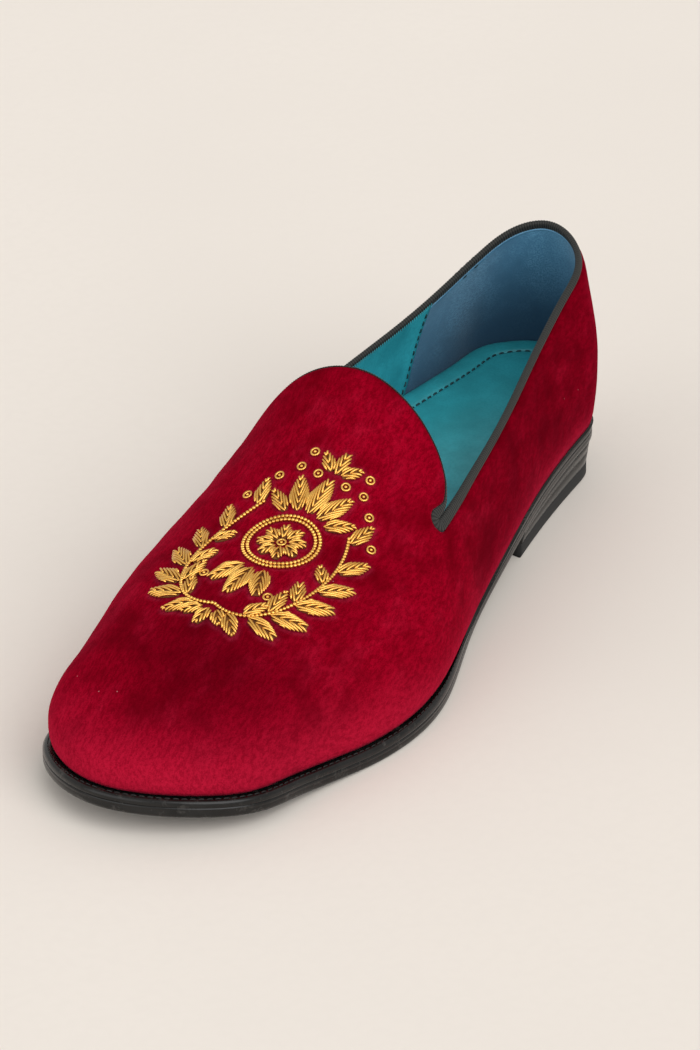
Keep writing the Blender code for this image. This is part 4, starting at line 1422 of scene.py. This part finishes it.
@dataclass
class Bottom:
    """Welt, outsole, insole and heel, cut to the bottom of the last."""

    last: Last
    stations_count: int = 170
    insole_thick: float = 3.2
    heel_pad: float = 14.0
    pad_front: float = 51.0
    pad_back: float = 27.0
    sock_inset: float = 2.1
    under_upper: float = 6.0
    sole_rings: tuple[Spot, ...] = (
        (0.9, 0.0), (0.45, 0.1), (0.16, 0.35), (0.0, 0.9), (0.0, 2.1), (0.1, 2.3), (0.0, 2.5),
    )
    welt_groove: tuple[Spot, ...] = ((-0.9, 0.05), (-0.35, 0.35), (0.4, 0.3))
    sock_edge: tuple[float, ...] = (0.0, 0.25, 0.6, 1.1)
    sock_middle: tuple[float, ...] = (0.8, 2.0, 3.6, 5.6)
    sock_sides: tuple[float, ...] = (0.0, 0.3, 0.6, 0.85)
    heel_groove: tuple[Spot, ...] = ((0.49, 0.0), (0.505, 0.22), (0.52, 0.22), (0.535, 0.0))
    heel_breast: float = 27.5
    heel_count: int = 70
    heel_across: int = 25
    breast_hollow: float = 3.0
    side_taper: float = 1.2
    block_inset: float = 0.6
    top_piece_thick: float = 5.0
    channel_inset: float = 7.8
    channel_depth: float = 0.5
    channel_width: float = 0.55
    puff: float = 0.55
    edge_drop: float = 0.5
    cushion: float = 0.9
    cushion_reach: float = 16.0

    def __post_init__(self) -> None:
        """Spreads the stations evenly over the whole outline, and over the part behind the heel's breast."""
        self.stations = self.last.even_stations(0, 1, self.stations_count)
        rows = np.array(SECTIONS)
        breast = np.interp(self.heel_breast, rows[:, 1], rows[:, 0])
        self.heel_stations = self.last.even_stations(0, breast, self.heel_count)

    def rim(self, side: Side, inset: float, from_edge: bool = True, stations: Array | None = None) -> Array:
        """The bottom's outline in plan, inset from the sole's edge or from the feather line."""
        wide, normal, columns = self.last.outline(self.stations if stations is None else stations, side)
        edge = columns[:, 2:3] if from_edge else 0
        return wide - normal * (columns[:, :1] - edge + inset)

    def level(self, inset: float, height: float, from_edge: bool = True, across: int = 9) -> Array:
        """A grid over the bottom of the last, of stations by places across.

        Args:
            inset: from the sole's edge, or from the feather line.
            height: above the outsole's tread face.
            from_edge: measures the inset from the sole's edge.
            across: points from one side to the other.

        Returns:
            The grid's points.
        """
        rims = [self.rim(side, inset, from_edge) for side in Side]
        return self.last.over(span(rims, np.linspace(0, 1, across)), height)

    def heel_level(self, inset: float, lift: float, flat: bool = False) -> Array:
        """A grid across the heel, curved back at its front, at a lift off the outsole's face or the floor."""
        share = np.linspace(0, 1, self.heel_across)
        plan = span([self.rim(side, inset, stations=self.heel_stations) for side in Side], share)
        along = (self.heel_stations / self.heel_stations[-1])[:, None]
        plan[..., 1] += self.breast_hollow * along**2 * 4 * share * (1 - share)
        grid = self.last.over(plan, lift)
        if flat:
            grid[..., 2] = lift
        return grid

    def outsole(self) -> Piece:
        """The outsole: rings rounded at the tread face, with a shallow line worn in halfway up the edge."""
        rings = [*self.sole_rings, (0.0, self.last.outsole_thick)]
        return dress(slab("leather_outsole", [self.level(*ring) for ring in rings]), EDGE, "outsole")

    def welt(self) -> Piece:
        """The welt: a flat strip with a rolled outer edge and a groove against the upper."""
        foot = self.last.outsole_thick + GAP * 0.3
        thick = self.last.welt_thick + GAP
        rings = [(0.12, foot, True), (0.0, foot + 0.15, True)]
        for turn in np.linspace(0, np.pi / 2, 8):
            inset, rise = 0.62 * (1 - np.cos(turn)), 0.25 + 0.75 * np.sin(turn)
            rings.append((thick * inset, foot + thick * rise, True))
        for inset, below in (*self.welt_groove, (self.under_upper, GAP), (self.under_upper, thick)):
            rings.append((inset, foot + thick - below, False))
        rings.append(rings[0])
        loops = []
        for side in Side:
            loop = [self.last.over(self.rim(side, inset, edge), height) for inset, height, edge in rings]
            loops.append((np.stack(loop, axis=1), None))
        return closed("rolled_welt", loops, EDGE, "welt", merge=0.02)

    def thickness(self, y: Array) -> Array:
        """Thickness of the insole's side, which is padded up towards the heel."""
        front, back = self.last.back_to_y(self.pad_front), self.last.back_to_y(self.pad_back)
        return self.insole_thick + self.heel_pad * ease((y - front) / (back - front))

    def sock_rim(self, side: Side, inset: float, share: float = 1.0) -> Array:
        """The insole's outline at a share of its thickness, following the upper's inner face."""
        wide, normal, columns = self.last.outline(self.stations, side)
        low = np.clip(1 - share * self.thickness(wide[:, 1:]) / columns[:, 1:2], 0, 1)
        return wide - normal * (columns[:, :1] * low**2.2 + inset)

    def sock_side(self, share: float, across: int) -> Array:
        """A grid across the insole at a share of its thickness."""
        plan = span([self.sock_rim(side, self.sock_inset, share) for side in Side], np.linspace(0, 1, across))
        return self.last.over(plan, self.last.shelf + share * self.thickness(plan[..., 1]))

    def insole_top(self, inset: Array) -> Array:
        """Height of the sock over its board, by the distance in from its rim.

        A padded border is half a sine, the stitched channel a narrow bell, and the cushion rises smoothly
        towards the middle.
        """
        deep = inset - self.channel_inset
        border = self.puff * np.sin(np.clip(inset / self.channel_inset, 0, 1) * np.pi)
        edge = self.edge_drop * np.exp(-inset / self.edge_drop)
        cushion = self.cushion * ease(deep / self.cushion_reach)
        return border - self.channel_depth * bell(deep, self.channel_width) - edge + cushion

    def insole(self) -> Piece:
        """The insole: a padded sock with a stitched channel, on a board that fills the space in the welt."""
        beside = self.channel_inset + np.linspace(-0.8, 0.8, 9)
        border = np.linspace(1.8, beside[0] - 0.4, 6)
        insets = np.concatenate([self.sock_edge, border, beside, beside[-1] + np.array(self.sock_middle)])
        rims = [[self.sock_rim(side, self.sock_inset + inset) for inset in insets] for side in Side]
        lateral, medial = np.stack(rims[0], axis=1), np.stack(rims[1], axis=1)
        share = np.linspace(0, 1, 24)[1:-1]
        middle = span([lateral[:, -1], medial[:, -1]], share)
        plan = np.concatenate([lateral, middle, medial[:, ::-1]], axis=1)
        apart = np.linalg.norm(medial[:, -1] - lateral[:, -1], axis=-1)
        deep = insets[-1] + apart[:, None] * np.minimum(share, 1 - share)
        near = np.tile(insets, (len(plan), 1))
        inward = np.concatenate([near, deep, near[:, ::-1]], axis=1)
        cap = self.last.over(plan, self.last.shelf + self.thickness(plan[..., 1]) + self.insole_top(inward))
        across, inner = plan.shape[1], self.under_upper + GAP
        bases = (self.last.outsole_thick + GAP, self.last.shelf)
        levels = [self.level(inner, height, False, across) for height in bases]
        levels += [self.sock_side(share, across) for share in self.sock_sides]
        piece = slab("padded_insole", [*levels, cap])
        return dress(piece, SOCK, "insole")

    def seated(self, plan: Array, height: Array | float) -> Pair:
        """Points for a row of stitches at a height over the tread face, with normals straight up."""
        return self.last.over(plan, height), np.tile([0.0, 0.0, 1.0], (len(plan), 1))

    def channel_path(self, side: Side) -> Pair:
        """Points and normals along the bottom of the insole's channel on one side."""
        plan = self.sock_rim(side, self.sock_inset + self.channel_inset)
        depth = self.insole_top(np.array(self.channel_inset))
        return self.seated(plan, self.last.shelf + self.thickness(plan[:, 1]) + depth)

    def welt_path(self, side: Side) -> Pair:
        """Points and normals along the welt's seat for its stitches, round the forepart of one side."""
        wide, normal, columns = self.last.outline(self.last.even_stations(0.56, 1, 300), side)
        plan = wide - normal * (columns[:, :1] - 0.55 * columns[:, 2:3])
        return self.seated(plan, self.last.outsole_thick + self.last.welt_thick + 1.3 * GAP)

    def heel_block(self) -> Piece:
        """The stacked heel: a narrower foot below, with a fine groove between its lifts."""
        foot, floor = self.block_inset + self.side_taper, self.top_piece_thick + GAP * 0.3
        levels = [self.heel_level(foot + 0.1, floor, True), self.heel_level(foot, floor + 0.15, True)]
        low, high = levels[-1], self.heel_level(self.block_inset, -GAP * 0.2)
        centre = (low + (high - low) * 0.52).mean(axis=(0, 1))
        for share, inset in self.heel_groove:
            ring = low + (high - low) * share
            levels.append(ring - unit((ring - centre) * (1, 1, 0)) * inset)
        return dress(slab("stacked_heel", [*levels, high]), EDGE, "heel_block")

    def top_piece(self) -> Piece:
        """The rubber top piece, with both its edges eased."""
        foot, thick = self.block_inset + self.side_taper, self.top_piece_thick
        rings = [(0.8, 0.0), (0.3, 0.15), (0.0, 0.7), (0.0, thick - 0.2), (0.15, thick)]
        levels = [self.heel_level(foot + inset, height, flat=True) for inset, height in rings]
        return dress(slab("rubber_top_piece", levels), RUBBER, "heel_top_piece")

    def build(self) -> list[Piece]:
        """Makes the five pieces under the foot."""
        return [self.outsole(), self.welt(), self.insole(), self.heel_block(), self.top_piece()]


@dataclass
class StitchRow:
    """A row of stitches laid along a path: each is a short thread that dips at both ends."""

    length: float
    gap: float
    radius: float
    sink: float = 0.3

    def grids(self, path: Array, normal: Array) -> Pair:
        """Tubes for every stitch that fits on the path.

        Args:
            path: points of the row.
            normal: unit vectors off the surface at those points.

        Returns:
            A stack of grids and their map.
        """
        first = np.arange(0, run_length(path)[-1] - self.length, self.length + self.gap)
        share = np.array([0, 0.02, 0.15, 0.35, 0.65, 0.85, 0.98, 1])
        at = first[:, None] + share * self.length
        up = unit(along_path(path, at.ravel(), normal).reshape(*at.shape, 3))
        rise = self.radius - self.sink * (2 * share - 1) ** 4
        centre = along_path(path, at.ravel()).reshape(*at.shape, 3) + up * rise[:, None]
        side = unit(np.cross(up, unit(np.gradient(centre, axis=1))))
        return tubes(centre, side, up, self.radius * np.array([0, 0.6, 1, 1, 1, 1, 0.6, 0]))


@dataclass
class Stitching:
    """Every row of thread that shows: on the insole, the lining's seam, the welt and the collar's join."""

    bottom: Bottom
    lining: Lining
    join: Spot = (0.10, 0.155)

    def build(self) -> list[Piece]:
        """Makes the rows of the channel, the seam and the welt, and the few tacks at the collar's join."""
        grip, collar = self.join_path(self.lining.top + 2.4, -1.5), self.join_path(1.5, 0.1)
        pieces = []
        for name, paths, style, finish in (
            ("insole_stitches", map(self.bottom.channel_path, Side), StitchRow(1.9, 1.1, 0.32), TEAL_THREAD),
            ("lining_stitches", map(self.lining.seam_path, Side), StitchRow(1.8, 1.0, 0.26), TEAL_THREAD),
            ("welt_stitches", map(self.bottom.welt_path, Side), StitchRow(2.0, 0.6, 0.2), BLACK_THREAD),
            ("grip_tacks", [grip], StitchRow(2.1, 4.0, 0.3), TEAL_THREAD),
            ("collar_tacks", [collar], StitchRow(1.4, 1.6, 0.24), BLACK_THREAD),
        ):
            pieces.append(closed(name, [style.grids(*path) for path in paths], finish))
        return pieces

    def join_path(self, width: float, height: float) -> Pair:
        """Points and normals of a short row behind the medial lining seam, at a height off the last.

        Args:
            width: how far below the collar's edge the row runs.
            height: how far outside the last it lies, or inside it when negative.

        Returns:
            The path and the unit normals of the face that it is sewn on.
        """
        last, stations = self.lining.shell.last, np.linspace(*self.join, 12)
        rises = self.lining.shell.openings[Side.MEDIAL].quarter_rise(width, stations)
        normal = last.normal(stations, Side.MEDIAL, rises)
        return last.point(stations, Side.MEDIAL, rises) + normal * height, normal * np.sign(height)


class Leaf(NamedTuple):
    """One leaf of the motif: where its stalk starts, the way it points, and its size, in mm and degrees."""

    across: float
    along: float
    angle: float
    length: float
    width: float

    def place(self, spots: Array) -> Array:
        """Points along and beside the leaf, turned and moved to where it grows."""
        return turned(spots, self.angle) + (self.across, self.along)

    def edge(self, x: Array) -> Array:
        """Half width at a distance from the foot: a sine, fuller towards the foot and pointed at the tip."""
        return self.width / 2 * np.sin(np.pi * np.clip(x / self.length, 0, 1) ** 0.86) ** 0.75


@dataclass
class Ground:
    """The part of the vamp under the motif, unrolled: a along the surface across the shoe, b up the ridge."""

    last: Last
    middle_y: float = -55.5
    reach_a: float = 47.0
    reach_b: float = 45.5
    margin: float = 8.0
    widest: float = 44.0
    girth: float = 70.0
    lift: float = 0.1

    def __post_init__(self) -> None:
        """Finds the surface on a one-millimetre grid by Newton steps.

        Each row is the cut by a plane square to the ridge's mean direction. Its points are found at even
        offsets from the ridge, then respaced by the distance travelled along the surface.
        """
        last = self.last
        reach = self.reach_b + self.margin
        ridge_y = np.linspace(self.middle_y + reach, self.middle_y - reach, 240)
        station = np.arccos((ridge_y - last.spine_middle) / last.spine_reach) / np.pi
        ridge = last.point(station, Side.LATERAL, np.array(1.0))
        self.tangent = unit((ridge[60] - ridge[-60]) * (0, 1, 1))
        travelled = run_length(ridge)
        centre = np.interp(-self.middle_y, -ridge[:, 1], travelled)
        b = np.arange(-self.reach_b, self.reach_b + 1)
        target = np.interp(centre - b, travelled, ridge @ self.tangent)[:, None]
        first = np.interp(centre - b, travelled, station)[:, None]
        offsets = np.linspace(0, self.widest, 60)[None]
        halves = []
        for side in (Side.MEDIAL, Side.LATERAL):
            spots = self.cut(side, first, target, offsets)
            arcs = np.cumsum(np.linalg.norm(np.diff(spots, axis=1, prepend=spots[:, :1]), axis=-1), axis=1)
            a = np.arange(0, self.reach_a + 1)
            row = np.stack([along_values(spot, arc, a) for spot, arc in zip(spots, arcs)])
            halves.append(row[:, :0:-1] if side is Side.MEDIAL else row)
        self.grid = np.concatenate(halves, axis=1)
        by_b, by_a = np.gradient(self.grid, axis=0), np.gradient(self.grid, axis=1)
        self.normals = unit(np.cross(by_a, by_b))

    def cut(self, side: Side, station: Array, target: Array, offset: Array) -> Array:
        """Points of the last on planes square to the motif's direction, at offsets in x from the spine."""
        station = np.broadcast_to(station, (len(target), offset.shape[1])).copy()
        rise = 1 - np.broadcast_to(offset, station.shape) / self.girth

        def miss(stations: Array, rises: Array) -> Array:
            """How far the points are from their offsets and from their planes."""
            spot = self.last.point(stations, side, rises)
            across = (spot[..., 0] - self.last.spine_x(spot[..., 1])) * side.value
            return np.stack([across - offset, spot @ self.tangent - target], axis=-1)

        for _ in range(12):
            here = miss(station, rise)
            by_station = (miss(station + FINE_STEP, rise) - here) / FINE_STEP
            by_rise = (here - miss(station, rise - FINE_STEP)) / FINE_STEP
            slope = np.stack([by_station, by_rise], axis=-1)
            slope[..., 0, 0] += 1e-9
            move = -np.einsum("...ij,...j->...i", np.linalg.pinv(slope), here)
            station = station + np.clip(move[..., 0], -0.05, 0.05)
            rise = np.clip(rise + np.clip(move[..., 1], -0.1, 0.1), 0.05, 1)
        return self.last.point(station, side, rise)

    def read(self, values: Array, spots: Array) -> Array:
        """Values of the grid at places (a, b), straight between its points."""
        a = np.clip(spots[..., 0] + self.reach_a, 0, values.shape[1] - 1.001)
        b = np.clip(spots[..., 1] + self.reach_b, 0, values.shape[0] - 1.001)
        i, j = a.astype(int), b.astype(int)
        s, t = (a - i)[..., None], (b - j)[..., None]
        near = values[j, i] * (1 - s) + values[j, i + 1] * s
        far = values[j + 1, i] * (1 - s) + values[j + 1, i + 1] * s
        return near * (1 - t) + far * t

    def place(self, spots: Array, height: Array | float = 0.0) -> Pair:
        """Points at a height over the velvet, and the normals there."""
        normal = unit(self.read(self.normals, spots))
        return self.read(self.grid, spots) + normal * (np.asarray(height)[..., None] + self.lift), normal


@dataclass
class Motif:
    """Generic gold bullion work: an eight-petal rosette in a beaded ring, between fans and sprays."""

    ground: Ground
    growth: Spot = (0.97, 1.02)
    turn: float = -5.0
    aside: float = 7.0
    wire: float = 0.38
    wire_steps: tuple[float, ...] = (0, 0.03, 0.14, 0.3, 0.5, 0.7, 0.86, 0.97, 1)
    wire_pitch: float = 1.0
    wire_bend: float = 0.010
    wire_lift: float = 0.30
    wire_crown: float = 0.80
    rib_gap: float = 0.08
    stagger: float = 0.35
    slant: float = 20.0
    bead_pitch: float = 1.25
    bead_radius: float = 0.74
    bead_height: float = 0.45
    eye_height: float = 0.35
    outer_lean: float = -38.0
    inner_lean: float = 42.0
    ring_radius: float = 1.35
    dot_radius: float = 0.55
    ring_centre: Spot = (0.0, 1.0)
    ring_size: float = 12.0
    ring_apart: float = 1.5
    fan_gap: float = 2.0
    low_fan: float = 0.92
    stalk: float = 0.7
    petals: int = 8
    petal: Spot = (6.9, 4.2)
    pad_share: float = 0.74
    pad_crown: float = 0.45
    pad_edge: float = 0.05
    pad_foot: float = -0.35
    eye: float = 1.9
    spray: tuple[Spot, ...] = ((0.0, -32.5), (20.0, -40.5), (28.5, -8.0), (16.0, 15.0))
    fan: tuple[Triple, ...] = ((0, 16.5, 6.6), (26, 15.0, 6.2), (54, 11.5, 5.0))
    outer_leaves: tuple[Spot, ...] = (
        (0.10, 11.0), (0.23, 13.5), (0.36, 14.5), (0.50, 14.5), (0.64, 13.5), (0.79, 12.5), (0.96, 11.5)
    )
    small_rings: tuple[Spot, ...] = (
        (5.2, 30.2), (10.5, 37.0), (11.8, 30.6), (17.2, 25.4), (24.0, 16.0), (12.2, -22.0),
    )
    inner_leaves: tuple[Spot, ...] = ((0.20, 9.5), (0.36, 11.0), (0.52, 10.5), (0.70, 8.5))
    bud: tuple[tuple[float, float, float, float], ...] = (
        (0.0, 32.0, 90.0, 10.5), (1.6, 32.5, 46.0, 8.5), (-1.6, 32.5, 134.0, 8.5),
        (0.0, -34.5, -90.0, 8.5), (2.4, -34.5, -48.0, 7.5), (-2.4, -34.5, -132.0, 7.5),
    )

    def lay(self, spots: Array, height: Array | float = 0.0) -> Pair:
        """Points over the velvet, and normals, for the layout as it is grown, turned and moved aside."""
        return self.ground.place(turned(spots * self.growth, self.turn) + (self.aside, 0), height)

    def spray_path(self, side: Side, count: int = 120) -> Array:
        """The stem of one spray: a cubic Bezier curve through its four control points, mirrored by side."""
        t = np.linspace(0, 1, count)[:, None]
        p = np.array(self.spray) * (side.value, 1)
        return (1 - t) ** 3 * p[0] + 3 * t * (1 - t) ** 2 * p[1] + 3 * t * t * (1 - t) * p[2] + t**3 * p[3]

    def leaves(self) -> list[Leaf]:
        """Every leaf and petal: the rosette's petals, two fans, the buds, and the leaves of both sprays."""
        centre = np.array(self.ring_centre)
        turns = 360 / self.petals * (np.arange(self.petals) + 0.5)
        leaves = [Leaf(*(centre + self.eye * toward(turn)), turn, *self.petal) for turn in turns]
        reach = self.ring_size + self.fan_gap
        for up, fan, grow in ((1, self.fan, 1.0), (-1, self.fan[:2], self.low_fan)):
            for spread, length, width in fan:
                for way in (1, -1) if spread else (1,):
                    spot = centre + reach * toward(up * 90 - way * spread * 0.55)
                    leaves.append(Leaf(*spot, up * 90 - way * spread, length * grow, width))
        leaves += [Leaf(*spot, 4.4) for spot in self.bud]
        for side in Side:
            path = self.spray_path(side)
            heading = np.degrees(np.arctan2(*np.gradient(path, axis=0).T[::-1]))
            for rows, lean in ((self.outer_leaves, self.outer_lean), (self.inner_leaves, self.inner_lean)):
                for share, length in rows:
                    at = int(share * (len(path) - 1))
                    turn = heading[at] + lean * side.value
                    spot = path[at] + self.stalk * toward(turn)
                    leaves.append(Leaf(*spot, turn, length, 2.4 + length * 0.24))
        return leaves

    def leaf_wires(self, leaf: Leaf) -> Array:
        """The wires of one leaf, on both sides of its rib, as paths in a and b.

        The wires lie side by side and slant off the rib at one angle, bending a little back towards the tip.
        Each runs from the rib, or from the leaf's foot, to where it meets the leaf's edge.
        """
        slope = np.tan(np.radians(self.slant))
        apart = self.wire_pitch / np.sin(np.radians(self.slant))
        foot = np.arange(-2, 0.80 * leaf.length / apart)[:, None] * apart

        def beside(ahead: Array) -> Array:
            """How far off the rib a wire is, by the distance ahead of its foot."""
            return ahead * slope - self.wire_bend * np.maximum(ahead, 0) ** 2

        x = np.linspace(0, leaf.length, 240)
        y = beside(x - foot)
        inside = (y > self.rib_gap) & (y < leaf.edge(x))
        kept = inside.sum(axis=1) > 18
        foot, inside = foot[kept], inside[kept]
        start = x[inside.argmax(axis=1)]
        end = x[len(x) - 1 - inside[:, ::-1].argmax(axis=1)]
        x = start[:, None] + (end - start)[:, None] * self.wire_steps
        y = beside(x - foot)
        return leaf.place(np.concatenate([np.stack([x, y], -1), np.stack([x + self.stagger, -y], -1)]))

    def wires(self) -> Piece:
        """All the leaves' wires as one piece of closed tubes, each standing highest halfway along."""
        paths = np.concatenate([self.leaf_wires(leaf) for leaf in self.leaves()])
        crown = np.sin(np.pi * (np.array(self.wire_steps) * 0.92 + 0.04)) ** 0.8
        centre, up = self.lay(paths, self.wire_lift + self.wire_crown * crown)
        side = unit(np.cross(up, np.gradient(centre, axis=1)))
        profile = self.wire * np.array([0, 0.62, 1, 1, 1, 1, 1, 0.62, 0])
        return closed("bullion_leaves", [tubes(centre, side, up, profile, ring=7)], GOLD)

    def rows(self) -> list[Array]:
        """The paths that beads are sewn along: two rings, and both sprays' stems."""
        sizes = (self.ring_size, self.ring_size - self.ring_apart)
        rings = [self.ring_centre + circle(240) * size for size in sizes]
        return rings + [self.spray_path(side) for side in Side]

    def balls(self, ends: Array, turn: Array, radius: Spot, height: float) -> Pair:
        """Squashed balls, each drawn as rings between two ends whose radius is a cosine.

        Args:
            ends: the two ends of each ball, in a and b.
            turn: the rings' places, as angles from the ball's middle.
            radius: half width and half height.
            height: of the middles over the velvet.

        Returns:
            A stack of grids and their map.
        """
        share = (1 + np.sin(turn)[:, None]) / 2
        centre, up = self.lay(ends[:, :1] + (ends[:, 1:] - ends[:, :1]) * share, height)
        side = unit(np.cross(up, centre[:, -1:] - centre[:, :1]))
        radii = np.cos(turn)[:, None] * radius
        radii[0] = radii[-1] = 0
        return tubes(centre, side, up, radii, ring=8)

    def beads(self) -> Piece:
        """Short barrels of purl set close together along every row."""
        turn = np.array([-1, -0.8, -0.35, 0.35, 0.8, 1]) * np.pi / 2
        radius = (self.bead_radius, self.bead_radius * 0.95)
        parts = []
        for row in self.rows():
            length = run_length(row)[-1]
            count = round(length / self.bead_pitch)
            at = (np.arange(count) + 0.5) * length / count
            heading = unit(along_path(row, at + 0.05) - along_path(row, at - 0.05))[:, None]
            half = heading * np.array([[-0.49], [0.49]]) * self.bead_pitch
            ends = along_path(row, at)[:, None] + half
            parts.append(self.balls(ends, turn, radius, self.bead_height))
        return closed("bullion_beads", parts, GOLD)

    def dots(self) -> Array:
        """Middles of the little rings: the rosette's eye, and those set among the leaves."""
        spots = [self.ring_centre] + [(way * a, b) for way in (1, -1) for a, b in self.small_rings]
        return np.array(spots)

    def rings(self) -> Piece:
        """A wire ring with a bead in its middle at each of the dots."""
        centre, up = self.lay(self.dots()[:, None] + circle(13) * self.ring_radius, self.wire)
        side = unit(np.cross(up, np.gradient(centre, axis=1)))
        side[:, 0] = side[:, -1] = unit(side[:, 0] + side[:, -1])
        rings = tubes(centre, side, up, np.full(centre.shape[1], self.wire), ring=7)
        ends = self.dots()[:, None] + np.array([[-1, 0], [1, 0]]) * self.dot_radius
        turn = np.linspace(-np.pi / 2, np.pi / 2, 6)
        eyes = self.balls(ends, turn, (self.dot_radius, self.dot_radius), self.eye_height)
        return closed("bullion_rings", [rings, eyes], GOLD)

    def padding(self) -> Piece:
        """Thread padding under each leaf, dark brown as painted shade between the wires: a low closed cushion
        in the leaf's outline.
        """
        x = np.linspace(0.08, 0.86, 14)[:, None]
        across = np.linspace(-1, 1, 7)
        crown = np.sqrt(1 - across**2) * np.sin(np.pi * np.linspace(0.05, 0.95, len(x)))[:, None]
        top, foot = self.pad_edge + self.pad_crown * crown, self.pad_foot + 0 * crown
        surface = Surface()
        for leaf in self.leaves():
            half = leaf.edge(x * leaf.length) * self.pad_share
            spots = leaf.place(np.stack(np.broadcast_arrays(x * leaf.length, half * across), -1))
            surface.close([self.lay(spots, height)[0] for height in (top, foot)])
        return dress(surface.piece("leaf_padding", merge=0.0005, outward=True), PADDING)

    def outline(self) -> Array:
        """Points along the leaves' edges, the bead rows and the rings, on the last's surface."""
        wires = [self.leaf_wires(leaf)[:, ::2].reshape(-1, 2) for leaf in self.leaves()]
        rings = (self.dots()[:, None] + circle(7)[:-1] * self.ring_radius).reshape(-1, 2)
        return self.lay(np.concatenate([*wires, dotted(self.rows(), 1.0), rings]))[0]

    def build(self) -> list[Piece]:
        """Makes the four pieces of the embroidery."""
        return [self.padding(), self.wires(), self.beads(), self.rings()]


@dataclass
class Studio:
    """A pale seamless floor, soft light from above and from the toe, and a long lens."""

    roll: float = -0.33
    eye: Triple = (812.33, -1497.26, 954.92)
    target: Triple = (-1.0, 2.0, 36.0)
    focal: float = 138.0
    frame_height: float = 24.0
    floor_colour: Colour = (0.855, 0.795, 0.73)
    floor_reach: float = 6000.0
    floor_sunk: float = 0.05
    sky: Colour = (1.0, 0.985, 0.965)
    sky_strength: float = 0.60
    suns: tuple[tuple[str, Triple, float, float], ...] = (
        ("window", (-50.0, 0.0, -115.0), 1.6, 50.0), ("front", (74.0, 0.0, -18.0), 0.95, 60.0),
    )

    def build(self) -> None:
        """Makes the floor, the world, the lights and the camera."""
        scene = bpy.context.scene
        scene.view_settings.view_transform = "Standard"
        self.floor()
        world = bpy.data.worlds.new("studio")
        scene.world = world
        world.use_nodes = True
        background = world.node_tree.nodes["Background"].inputs
        background["Color"].default_value = (*self.sky, 1)
        background["Strength"].default_value = self.sky_strength
        for light in self.suns:
            self.sun(*light)
        camera = bpy.data.objects.new("camera", bpy.data.cameras.new("camera"))
        camera.data.sensor_fit = "VERTICAL"
        camera.data.sensor_height = self.frame_height
        camera.data.lens = self.focal
        camera.data.clip_end = 20
        camera.matrix_world = self.camera_matrix()
        scene.collection.objects.link(camera)
        scene.camera = camera

    def camera_matrix(self) -> Matrix:
        """The camera's place: at the eye, looking at the target, rolled a little."""
        eye = np.array(self.eye)
        back = unit(eye - np.array(self.target))
        right = unit(np.cross((0.0, 0.0, 1.0), back))
        up = np.cross(back, right)
        cos, sin = toward(self.roll)
        matrix = np.eye(4)
        matrix[:3] = np.column_stack([right * cos + up * sin, up * cos - right * sin, back, eye * MM])
        return Matrix(matrix.tolist())

    def sun(self, name: str, turn: Triple, strength: float, spread: float) -> None:
        """A wide soft light from a direction given by turns in degrees."""
        light = bpy.data.lights.new(name, "SUN")
        light.energy = strength
        light.angle = np.radians(spread)
        holder = bpy.data.objects.new(name, light)
        holder.rotation_euler = np.radians(turn)
        bpy.context.scene.collection.objects.link(holder)

    def floor(self) -> Piece:
        """A wide flat sheet at z = 0, as a grid of two parameters, in a pale plaster finish."""
        even = np.linspace(-self.floor_reach, self.floor_reach, 9)
        x, y = np.meshgrid(even, even, indexing="ij")
        surface = Surface()
        surface.add(np.stack([x, y, 0 * x - self.floor_sunk], axis=-1))
        floor = surface.piece("floor")
        deep = tuple(0.97 * part for part in self.floor_colour)
        finish = Finish("pale_floor", "floor", deep, self.floor_colour, 0.85, 400.0, 3.0, 0.02, specular=0.2)
        floor.data.materials.append(finish.material())
        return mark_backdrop(floor)


@dataclass
class Loafer:
    """The whole shoe, made from its last outwards."""

    last: Last = field(default_factory=Last)

    def build(self) -> None:
        """Builds every sub-assembly in order."""
        openings = {side: Opening(self.last, side) for side in Side}
        shell = UpperShell(self.last, openings)
        motif = Motif(Ground(self.last))
        VelvetUpper(shell).build(motif.outline())
        lining = Lining(shell)
        lining.build()
        binding = Binding(shell)
        binding.build()
        binding.cut_edge()
        bottom = Bottom(self.last)
        bottom.build()
        Stitching(bottom, lining).build()
        motif.build()


def corners() -> list[list[float]]:
    """The lowest and highest corners of what is shown, as plain lists."""
    return [list(corner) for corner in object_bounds()]


def main() -> None:
    """Builds the shoe and the studio."""
    logging.basicConfig(level=logging.INFO, format="%(message)s")
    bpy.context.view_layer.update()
    Loafer().build()
    Studio().build()


if __name__ == "__main__":
    main()
